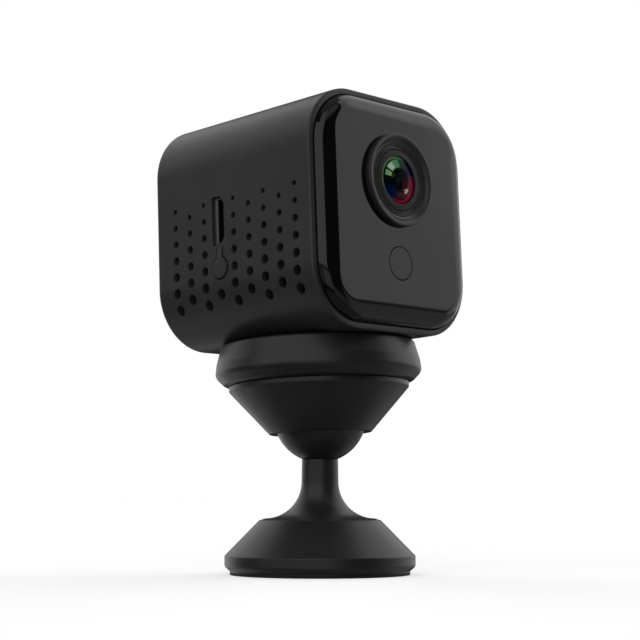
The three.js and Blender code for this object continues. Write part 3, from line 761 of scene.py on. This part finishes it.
# ---- Front panel ------------------------------------------------------------
# A deep cap of polished black plastic set into the front pocket, its border rolled back to the
# rim in one broad curve. It has a hole for the lens, one for the button, and two screw posts
# behind.
SEAM = 0.07
PANEL_FACE = -19.4
PANEL_EDGE = 3.3
PANEL_CURVE_FROM = -17.1
PANEL_FACE_CORNER = 3.4
PANEL_SKIN = 1.8
PANEL_SKIRT = 1.2
PANEL_STEPS = 28
DRILL_END = -30
LENS_Z = 5.24
LENS_HOLE = 7.0
BUTTON_Z = -8.55
BUTTON_RADIUS = 2.7
BUTTON_GROOVE = 0.14
POST_X = 13
POST_Z = 12.6
POST_RADIUS = 1.7
PILOT_RADIUS = 0.75
FRONT_POST_END = -10.1

gloss_black = moulded(
    "polished black panel", (0.0045, 0.0045, 0.0048), 0.045, mottle=0.05, grain=300,
    depth=0.0004, spread=0.012,
)


def panel_section():
    """Out along the face, round the border, back along the skirt and in behind."""
    outer = RIM + SEAM
    proud = PANEL_CURVE_FROM - PANEL_FACE
    back_corner = BODY_CORNER - outer
    points = [(outer + PANEL_EDGE + 0.6, PANEL_FACE, PANEL_FACE_CORNER - 0.6)]
    for s in range(PANEL_STEPS + 1):
        angle = math.pi / 2 * (1 - s / PANEL_STEPS)
        share = 1 - math.cos(angle)
        corner = back_corner + (PANEL_FACE_CORNER - back_corner) * share
        depth = PANEL_CURVE_FROM - proud * math.sin(angle)
        points.append((outer + PANEL_EDGE * share, depth, corner))
    behind = BODY_FRONT + FRONT_POCKET - 0.2
    inside = PANEL_FACE + PANEL_SKIN
    skirt = outer + PANEL_SKIRT
    return points + [(outer, behind), (skirt, behind), (skirt, inside + 0.6), (skirt + 0.8, inside)]


def screw_post(x, z, low, high):
    """A tube along Y for a self-tapping screw."""
    wall = [(PILOT_RADIUS, low), (POST_RADIUS, low), (POST_RADIUS, high), (PILOT_RADIUS, high)]
    tube = turned([Vector(p) for p in wall], 32)
    tube.transform(Matrix.Translation((x, 0, z)) @ Matrix.Rotation(math.radians(-90), 4, "X"))
    return tube


def carving_tree():
    """Takes one object's solids out of the incoming solid."""
    tree, value = tree_with("carved holes", {"Tools": "Object", "Material": "Material"})
    tools = wired(tree, "GeometryNodeObjectInfo", {"Object": value["Tools"]})
    cut = cut_away(tree, value["Geometry"], tools.outputs["Geometry"])
    finish_tree(tree, cut, value["Material"])
    return tree


drills = workshop_object("drills", joined(
    prism(circle(0, LENS_Z, LENS_HOLE, 128), DRILL_END, 0, "Y"),
    prism(circle(0, BUTTON_Z, BUTTON_RADIUS + BUTTON_GROOVE, 96), DRILL_END, 0, "Y"),
))
blank = workshop_object("panel", swept(panel_section(), closed=False))
panel = run_tree(blank, carving_tree(), {"Tools": drills, "Material": gloss_black})
bpy.data.objects.remove(drills)
for post_x, post_z in ((-POST_X, -POST_Z), (POST_X, POST_Z)):
    post_root = PANEL_FACE + PANEL_SKIN - 0.2
    panel = joined(panel, screw_post(post_x, post_z, post_root, FRONT_POST_END))
piece(
    "front_panel_glossy", panel, HEAD, gloss_black, "head", ["front_panel"],
    sharp=30,
)

# ---- Back cover -------------------------------------------------------------
# A flat lid of the housing's plastic, pressed into the back pocket flush with the rim, with
# four screw posts that reach forward to the main board.
COVER_FRONT = BODY_BACK - BACK_POCKET + 0.15
MAIN_BOARD_BACK = 2.85
COVER_MIDDLE = 6


def cover_section():
    outer = RIM + SEAM
    return softened([
        (COVER_MIDDLE, BODY_BACK, 0), (outer, BODY_BACK, 0.22), (outer, COVER_FRONT, 0.05),
        (COVER_MIDDLE, COVER_FRONT, 0),
    ])


cover = swept(cover_section(), closed=False)
for side_x, side_z in ((-1, 1), (1, 1), (1, -1), (-1, -1)):
    post = screw_post(side_x * POST_X, side_z * POST_Z, MAIN_BOARD_BACK, COVER_FRONT + 0.3)
    cover = joined(cover, post)
piece("back_cover_lid", cover, HEAD, housing_black, "head", ["back_cover"], sharp=30)

# ---- Lens trim ring ---------------------------------------------------------
# A satin ring that stands proud of the panel. Its wall is upright, its crest round, and its
# inside falls in a hollow funnel to the barrel.
trim_black = moulded("satin lens trim", (0.03, 0.03, 0.0305), 0.35, grain=7000, depth=0.003)
FORWARD = Matrix.Rotation(math.radians(90), 4, "X")
LENS = HEAD @ Matrix.Translation((0, 0, LENS_Z)) @ FORWARD
TRIM_RADIUS = 7.77


def trim_outline():
    """In (radius, height in front of the head's middle)."""
    face = -PANEL_FACE
    crest = face + 1.0
    foot = face + 0.06
    return softened([
        (TRIM_RADIUS, foot, 0.03), (TRIM_RADIUS, crest - 0.14, 0.14), (7.6, crest + 0.03, 0.09),
        (7.08, crest + 0.02, 0.16), (6.75, crest - 0.3, 0.16), (6.45, crest - 0.6, 0.16),
        (6.05, crest - 0.77, 0.04), (6.05, 17, 0), (6.9, 17, 0), (6.9, foot, 0),
    ])


trim = turned(trim_outline())
piece("lens_trim_ring_satin", trim, LENS, trim_black, "head", ["lens_trim_ring"])

# ---- Lens barrel and retainer -----------------------------------------------
# A turned and blackened aluminium barrel with three fine steps cut in its face, and the
# threaded ring inside that holds the front glass down.
barrel_black = moulded(
    "blackened aluminium", (0.024, 0.024, 0.025), 0.34, grain=5000, depth=0.003,
)
ring_black = moulded(
    "dark anodised ring", (0.012, 0.012, 0.013), 0.45, grain=5000, depth=0.003,
    Specular_IOR_Level=0.32,
)


def barrel_outline():
    top = -PANEL_FACE + 0.25
    return softened([
        (5.98, top - 0.06, 0.05), (5.95, top, 0.04), (5.8, top, 0.04), (5.76, top - 0.2, 0),
        (5.64, top - 0.2, 0), (5.6, top, 0.05), (5.5, top, 0.03), (5.47, top - 0.12, 0),
        (5.38, top - 0.12, 0), (5.35, top, 0.03), (5.24, top, 0.03), (5.18, top - 0.1, 0.03),
        (5.18, 19, 0), (4.2, 19, 0), (4.2, 15.2, 0), (3, 15.2, 0), (3, 13.2, 0), (5.98, 13.2, 0),
    ])


def retainer_outline():
    return softened([
        (5.07, 19.15, 0), (5.07, 19.64, 0.05), (4.3, 19.74, 0.08), (4.0, 19.72, 0.05),
        (3.95, 19.58, 0.03), (4.3, 19.15, 0),
    ])


barrel = turned(barrel_outline())
retainer = turned(retainer_outline())
piece("lens_barrel_turned", barrel, LENS, barrel_black, "head", ["lens_barrel"])
piece("lens_retainer_ring", retainer, LENS, ring_black, "head", ["lens_retainer"])

# ---- Lens glass -------------------------------------------------------------
# A clear domed front glass over a second, coated element whose rim shows green, blue and
# crimson round a black pupil. The colours are painted reflections: the light of the studio as the
# coatings throw it back, painted into the element's colour, each in its own part of the ring, with
# two painted glints. The black pupil is painted shade for the dark inside of the lens.
GLASS_RADIUS = 3.93
DOME_RADIUS = 10.5
DOME_TOP = 20.42
COATED_DEPTH = 0.22
COATED_RADIUS = 3.92
PUPIL_RADIUS = 1.9
PUPIL_TOP = 19.35
PUPIL_CURVE = 3.2
PUPIL_BEVEL = 0.3
GLASS_THICK = 0.12
GLASS_STEPS = 24
ELEMENT_HEIGHT = 19.8
ELEMENT_BACK = 17.6


def dome_height(radius, top=DOME_TOP, curve=DOME_RADIUS):
    return top - curve + math.sqrt(curve ** 2 - radius ** 2)


def front_glass():
    """A meniscus: a domed front and a hollow back, with a flat rim."""
    radii = [GLASS_RADIUS * s / GLASS_STEPS for s in range(GLASS_STEPS + 1)]
    over = [Vector((r, dome_height(r))) for r in radii]
    under = [Vector((r, dome_height(r) - GLASS_THICK)) for r in radii]
    return turned(over + under[::-1])


def coated_element():
    """A domed ring just under the front glass, stepping down to a small dark dome at the pupil."""
    top = DOME_TOP - COATED_DEPTH
    edge = dome_height(PUPIL_RADIUS, top)
    inner = PUPIL_RADIUS + PUPIL_BEVEL
    pupil = [PUPIL_RADIUS * s / 8 for s in range(9)]
    points = [Vector((r, dome_height(r, PUPIL_TOP, PUPIL_CURVE))) for r in pupil]
    points += softened([
        (PUPIL_RADIUS, 18.9, 0), (PUPIL_RADIUS + 0.12, edge, 0.05), (inner, edge, 0),
    ])[:-1]
    ring = [inner + (COATED_RADIUS - inner) * s / 16 for s in range(17)]
    points += [Vector((r, dome_height(r, top))) for r in ring]
    points += [Vector((COATED_RADIUS, ELEMENT_BACK)), Vector((0, ELEMENT_BACK))]
    return turned(points)


# Each painted reflection: middle and half of its arc in degrees, from and to radius in
# millimetres, softness of both, colour. Arcs run anticlockwise from the lens's right-hand side,
# as it is looked at.
PAINTED_REFLECTIONS = [
    (38, 34, 2.2, 3.75, 26, 0.6, (0.002, 0.005, 0.055)),
    (236, 30, 2.1, 3.75, 26, 0.6, (0.002, 0.008, 0.065)),
    (118, 56, 1.9, 3.7, 30, 0.3, (0.003, 0.018, 0.007)),
    (-28, 40, 2.0, 3.8, 30, 0.7, (0.240, 0.003, 0.030)),
    (-70, 34, 2.1, 3.0, 34, 0.7, (0.120, 0.015, 0.030)),
    (-52, 60, 3.35, 3.8, 30, 0.2, (0.460, 0.006, 0.035)),
    (212, 26, 3.66, 3.98, 24, 0.12, (0.040, 0.220, 0.420)),
    (172, 26, 3.66, 3.98, 24, 0.12, (0.260, 0.450, 0.040)),
    (112, 46, 3.66, 3.98, 24, 0.12, (0.180, 0.620, 0.200)),
    (118, 28, 2.05, 3.4, 1.5, 0.08, (0.130, 0.430, 0.170)),
    (132, 12, 2.2, 3.3, 10, 0.3, (0.780, 0.960, 0.780)),
    (162, 9, 2.15, 3.3, 1.5, 0.08, (0.360, 0.640, 0.340)),
]
# Each painted glint, a painted highlight: place in millimetres right of and above the lens's
# middle, its turn, half length, half width, colour.
PAINTED_GLINTS = [
    (-0.75, 0.85, 35, 0.75, 0.42, (0.130, 0.105, 0.020)),
    (1.5, -1.72, 42, 0.72, 0.36, (1.0, 0.85, 0.88)),
]

# The pupil's near-black is painted shade for the dark inside of the lens.
PAINTED_PUPIL_SHADE = (0.002, 0.005, 0.010, 1)


def painted_reflection_material():
    """The painted reflections and painted glints, laid one over another from the pupil's painted
    shade up.
    """
    made = bpy.data.materials.new("coated glass, painted reflections")
    made.use_nodes = True
    tree = made.node_tree
    shader = tree.nodes["Principled BSDF"]
    shader.inputs["Roughness"].default_value = 0.08
    shader.inputs["Specular IOR Level"].default_value = 0.02

    def reckon(operation, *values):
        return reckoned(tree, operation, *values)

    def length(a, b):
        return reckon("SQRT", reckon("ADD", reckon("MULTIPLY", a, a), reckon("MULTIPLY", b, b)))

    def weighed(a, b, share_a, share_b):
        return reckon("ADD", reckon("MULTIPLY", a, share_a), reckon("MULTIPLY", b, share_b))

    place = wired(tree, "ShaderNodeTexCoord").outputs["Object"]
    from_middle = wired(tree, "ShaderNodeVectorMath", {
        0: place, 1: LENS @ Vector((0, 0, ELEMENT_HEIGHT)),
    }, operation="SUBTRACT").outputs[0]

    def along(axis):
        share = wired(
            tree, "ShaderNodeVectorMath", {0: from_middle, 1: axis}, operation="DOT_PRODUCT",
        )
        return reckon("MULTIPLY", share.outputs["Value"], 1 / MM)

    def laid_over(below, mask, tint):
        mix = wired(tree, "ShaderNodeMix", data_type="RGBA")
        mix.inputs["B"].default_value = (*tint, 1)
        tree.links.new(mask, mix.inputs["Factor"])
        if below is None:
            mix.inputs["A"].default_value = PAINTED_PUPIL_SHADE
        else:
            tree.links.new(below, mix.inputs["A"])
        return mix.outputs["Result"]

    across = along((1, 0, 0))
    upward = along((HEAD.to_3x3() @ Vector((0, 0, 1))).normalized())
    radius = length(across, upward)
    angle = reckon("ARCTAN2", upward, across)
    colour = None
    # Painted reflections, each laid in its arc of the ring.
    for middle, half, inner, outer, soft_arc, soft_edge, tint in PAINTED_REFLECTIONS:
        turn = reckon("SUBTRACT", angle, math.radians(middle))
        turn = reckon("WRAP", turn, math.pi, -math.pi)
        arc = soft_band(tree, turn, math.radians(half), math.radians(soft_arc))
        off_ring = reckon("SUBTRACT", radius, (inner + outer) / 2)
        ring = soft_band(tree, off_ring, (outer - inner) / 2, soft_edge)
        colour = laid_over(colour, reckon("MULTIPLY", arc, ring), tint)
    # Painted highlights: the glints.
    for right, above, turn, half_length, half_width, tint in PAINTED_GLINTS:
        c, d = math.cos(math.radians(turn)), math.sin(math.radians(turn))
        x, y = reckon("SUBTRACT", across, right), reckon("SUBTRACT", upward, above)
        long = weighed(x, y, c / half_length, d / half_length)
        wide = weighed(x, y, -d / half_width, c / half_width)
        colour = laid_over(colour, soft_band(tree, length(long, wide), 0.8, 0.4), tint)
    tree.links.new(colour, shader.inputs["Base Color"])
    return made


def clear_coating(name, tint, strength):
    """A clear surface that mirrors a small share of what is round it."""
    return moulded(
        name, tint, 0.03, 1.0, mottle=0.05, grain=400, depth=0.0002, spread=0.01, Alpha=strength,
    )


front_coating = clear_coating("clear front coating", (0.75, 0.9, 0.8), 0.004)
# The element and the glass behind it carry the painted reflections and the painted pupil shade.
painted_reflection_glass = painted_reflection_material()
piece("front_lens_glass", front_glass(), LENS, front_coating, "head", ["front_lens"])
piece("coated_lens_element", coated_element(), LENS, painted_reflection_glass, "head", ["middle_lens"])
finish_node(painted_reflection_glass, "rear_lens", "ir_filter")
finish_node(inner_grey, "lens_holder")

# ---- Front button -----------------------------------------------------------
# A small disc of the panel's plastic, flush with the face, on a stem that reaches the switch. A
# flange on the stem keeps it in.
FLANGE_RADIUS = 3.4
STEM_RADIUS = 1.2
STEM_END = 13.05


def button_outline():
    face = -PANEL_FACE
    flange_top = face - PANEL_SKIN - 0.1
    flange_back = flange_top - 0.6
    return softened([
        (0, face, 0), (BUTTON_RADIUS, face, 0.06), (BUTTON_RADIUS, flange_top, 0),
        (FLANGE_RADIUS, flange_top, 0), (FLANGE_RADIUS, flange_back, 0),
        (STEM_RADIUS, flange_back, 0), (STEM_RADIUS, STEM_END, 0), (0, STEM_END, 0),
    ])


BUTTON = HEAD @ Matrix.Translation((0, 0, BUTTON_Z)) @ FORWARD
button = turned(button_outline())
piece(
    "front_button_disc", button, BUTTON, gloss_black, "lens_button",
    ["front_button"],
)

# ---- Port -------------------------------------------------------------------
# A drawn and blackened steel shell whose flat lip sits just below the wall, broad on the back
# side. A near-black liner set back inside it is painted shade for the port's dark inside, and a
# tongue inside carries five gold contacts.
SHELL_MOUTH = -17.95
SHELL_END = -11.2
SHELL_GAP = 0.13
SHELL_LIP = 0.24
SHELL_BACK_LIP = 0.78
SHELL_EASE = 0.05
SHELL_FLOOR = 0.3
SHADE_LINER_WALL = 0.12
SHADE_LINER_DEEPER = 0.12
TONGUE_TIP = -17.0
TONGUE_ROOT = -11.6
TONGUE_LOW = 3.95
TONGUE_HIGH = 4.35
TONGUE_HALF = 2.3
CONTACTS = 5
CONTACT_PITCH = 0.8
black_steel = moulded("blackened steel", (0.12, 0.121, 0.125), 0.42, 0.5, grain=2500, depth=0.003)
chip_black = moulded(
    "component black", (0.006, 0.006, 0.007), 0.6, grain=5000, depth=0.006,
    Specular_IOR_Level=0.2,
)
contact_gold = moulded("gold contact", (0.75, 0.52, 0.2), 0.25, 1.0, grain=2500, depth=0.002)


def port_ring(gap, front_lip, back_lip):
    """The outlines of one box in the port, outside and inside."""
    front, back = PORT_FRONT + gap, PORT_BACK - gap
    length = PORT_LENGTH - 2 * gap
    outer = port_outline(length, front, back, 0.78, 1.1)
    inner_length = length - 2 * front_lip
    inner = port_outline(inner_length, front + front_lip, back - back_lip, 0.66, 0.94)
    return outer, inner


def open_box(outer, inner, mouth, end):
    """A box between two outlines, its mouth open with eased edges and its far end closed."""
    def between(share):
        """An outline that lies this share of the way in from the outer one."""
        return [tuple(Vector(a).lerp(Vector(b), share)) for a, b in zip(outer, inner)]

    eased = mouth + SHELL_EASE
    steps = (
        (outer, end), (outer, eased), (between(0.2), mouth), (between(0.9), mouth),
        (inner, eased), (inner, end - SHELL_FLOOR),
    )
    return skinned([[(depth, a, b) for a, b in outline] for outline, depth in steps])


def row_tree():
    """Stands copies of one object in a row up Z, and joins them to the incoming solid."""
    tree, value = tree_with("row of copies", {
        "Copied": "Object", "Material": "Material", "Copies": "Int", "Pitch": "Float",
        "Start": "Vector",
    })
    step = wired(tree, "ShaderNodeCombineXYZ", {"Z": value["Pitch"]})
    row = wired(tree, "GeometryNodeMeshLine", {
        "Count": value["Copies"], "Start Location": value["Start"], "Offset": step.outputs[0],
    })
    copied = wired(tree, "GeometryNodeObjectInfo", {"Object": value["Copied"]})
    copies = wired(tree, "GeometryNodeInstanceOnPoints", {
        "Points": row.outputs[0], "Instance": copied.outputs["Geometry"],
    })
    together = wired(tree, "GeometryNodeJoinGeometry", {0: copies.outputs[0]})
    tree.links.new(value["Geometry"], together.inputs[0])
    finish_tree(tree, together.outputs[0], value["Material"])
    return tree


def rounded_bar(low, high, corner=0.08):
    """A box between two corners with rounded long edges, along X."""
    (x0, y0, z0), (x1, y1, z1) = low, high
    corners = [(y1, z1, corner), (y0, z1, corner), (y0, z0, corner), (y1, z0, corner)]
    return prism([tuple(p) for p in softened(corners, 3)], x0, x1, "X")


shell_outer, shell_inner = port_ring(SHELL_GAP, SHELL_LIP, SHELL_BACK_LIP)
shell = open_box(shell_outer, shell_inner, SHELL_MOUTH, SHELL_END)
piece("port_shell_steel", shell, HEAD, black_steel, "head", ["usb_shell"], sharp=40)


def shade_liner_outline(gap):
    """The shell's inside taken in by a gap."""
    front_in = SHELL_GAP + SHELL_LIP + gap
    back_in = SHELL_GAP + SHELL_BACK_LIP + gap
    length = PORT_LENGTH - 2 * front_in
    return port_outline(length, PORT_FRONT + front_in, PORT_BACK - back_in, 0.64, 0.92)


# A near-black liner in the shell: painted shade for the dark inside of the port.
shade_liner = open_box(
    shade_liner_outline(0.01), shade_liner_outline(SHADE_LINER_WALL), SHELL_MOUTH + SHADE_LINER_DEEPER, SHELL_END - 0.35,
)
piece("port_insulator", shade_liner, HEAD, chip_black, "head")
tongue = rounded_bar(
    (TONGUE_TIP, TONGUE_LOW, PORT_Z - TONGUE_HALF),
    (TONGUE_ROOT, TONGUE_HIGH, PORT_Z + TONGUE_HALF), 0.1,
)
piece("port_tongue", tongue, HEAD, chip_black, "head", ["usb_tongue"])
bar = workshop_object("bar", rounded_bar((0, -0.03, -0.2), (4.2, 0.03, 0.2), 0.02))
contacts = run_tree(workshop_object("contacts", bmesh.new()), row_tree(), {
    "Copied": bar, "Material": contact_gold, "Copies": CONTACTS, "Pitch": CONTACT_PITCH,
    "Start": (
        TONGUE_TIP + 0.25, TONGUE_LOW - 0.03, PORT_Z - CONTACT_PITCH * (CONTACTS - 1) / 2,
    ),
})
bpy.data.objects.remove(bar)
piece("port_contacts", contacts, HEAD, contact_gold, "head")

# ---- Card socket, switches and chips ----------------------------------------
# A pressed steel card socket and a slide switch behind the right wall's openings, a tact switch
# behind each key, and the sensor and speaker. All are soldered to the boards or glued in.
finish_node(chip_black, "reset_switch", "button_switch", "image_sensor", "speaker")
finish_node(
    plated_steel, "card_socket", "slide_switch", "shield_can", "microphone", "keeper_plate",
)

# ---- Reset key --------------------------------------------------------------
# A keyhole-shaped tongue of the housing's own plastic, its rim eased, that bends at its root.
# Its face slopes down to the wall over the neck, and a stem behind it reaches the switch.
KEY_THICK = 1
KEY_EASE = 0.08
KEY_RAMP = 1.6
KEY_STEM = (4, KEY_Z, 0.8)
KEY_STEM_END = -15.2


def reset_key():
    front = -FACE - KEY_PROUD + 0.01
    plate = prism(key_outline(0), -FACE - KEY_PROUD, -FACE + KEY_THICK, "X")
    bmesh.ops.triangulate(plate, faces=plate.faces)
    rim = [
        e for e in plate.edges
        if all(v.co.x < front for v in e.verts) and len(e.link_faces) == 2
        and any(abs(f.normal.x) < 0.5 for f in e.link_faces)
    ]
    bmesh.ops.bevel(plate, geom=rim, offset=KEY_EASE, segments=3, affect="EDGES")
    for vertex in plate.verts:
        up_ramp = vertex.co.z - KEY_ROOT + KEY_RAMP
        if vertex.co.x < front + 0.1 and up_ramp > 0:
            vertex.co.x += (KEY_PROUD - 0.015) * min(1, up_ramp / KEY_RAMP)
    return joined(plate, prism(circle(*KEY_STEM, 32), -FACE + 0.8, KEY_STEM_END, "X"))


piece(
    "reset_key_tongue", reset_key(), HEAD, housing_black, "reset_tongue",
    ["reset_key"],
)

# ---- Power switch knob ------------------------------------------------------
# A small slider of the satin plastic in the right wall, with five grip ribs across it. A plate
# behind the wall keeps it in, and a finger reaches the switch.
KNOB_Y = 4.1
KNOB_LOW = -9.2
KNOB_LENGTH = 2.4
KNOB_FACE = 18.1
KNOB_HALF = 0.9
RIBS = 5
RIB_PITCH = 0.44
RIB_LENGTH = 0.85
RIB_HALF = 0.12

middle = KNOB_LOW + KNOB_LENGTH / 2


def knob_block(x0, x1, half_width, below, above):
    """One block of the slider, from x0 to x1 and from below to above its middle."""
    low, high = (x0, KNOB_Y - half_width, middle - below), (x1, KNOB_Y + half_width, middle + above)
    return rounded_bar(low, high)


knob = joined(
    knob_block(17.3, KNOB_FACE, KNOB_HALF, KNOB_LENGTH / 2, KNOB_LENGTH / 2),
    knob_block(16.8, 17.6, 0.7, 1, 1),
    knob_block(16.5, 17, 1.4, 1.5, 1.9),
    knob_block(14.5, 16.8, 0.4, 0.5, 0.5),
)
rib_sides = ((1, -1), (1, 1), (-1, 1), (-1, -1))
rib_outline = softened([(y * RIB_LENGTH, z * RIB_HALF, 0.05) for y, z in rib_sides])
rib = workshop_object("rib", prism([tuple(p) for p in rib_outline], -0.2, 0.3, "X"))
ribbed = run_tree(workshop_object("knob", knob), row_tree(), {
    "Copied": rib, "Material": satin_black, "Copies": RIBS, "Pitch": RIB_PITCH,
    "Start": (KNOB_FACE, KNOB_Y, middle - RIB_PITCH * (RIBS - 1) / 2),
})
bpy.data.objects.remove(rib)
piece(
    "power_slider_ribbed", ribbed, HEAD, satin_black, "power_switch",
    ["power_slider"],
)

# ---- Boards and what they carry ---------------------------------------------
# Green glass-fibre boards, screws, diodes, the cell and its leads, the film aerial and the flat
# cable. Only the edges of the boards show, faintly, through the perforations.
solder_mask = moulded(
    "green solder mask", (0.006, 0.05, 0.023), 0.3, grain=900, depth=0.01, mottle=0.35,
)
diode_clear = moulded("white diode body", (0.7, 0.72, 0.75), 0.15, grain=3000, depth=0.002)
foil_pouch = moulded("foil pouch", (0.4, 0.42, 0.45), 0.3, 0.8, grain=700, depth=0.02)
amber_film = moulded("amber film", (0.45, 0.19, 0.03), 0.35, grain=1500, depth=0.004)
red_sleeving = moulded("red sleeving", (0.35, 0.01, 0.01), 0.4, grain=3000, depth=0.004)
black_sleeving = moulded("black sleeving", (0.006, 0.006, 0.006), 0.4, grain=3000, depth=0.004)
finish_node(solder_mask, "front_board", "main_board")
finish_node(plated_steel, *[f"front_board_screw_{i}" for i in (1, 2)])
finish_node(plated_steel, *[f"main_board_screw_{i}" for i in (1, 2, 3, 4)])
finish_node(diode_clear, *[f"ir_led_{i}" for i in (1, 2, 3, 4)])
finish_node(foil_pouch, "battery")
finish_node(red_sleeving, "battery_lead_red")
finish_node(black_sleeving, "battery_lead_black", "antenna_cable")
finish_node(amber_film, "antenna", "flex_cable")
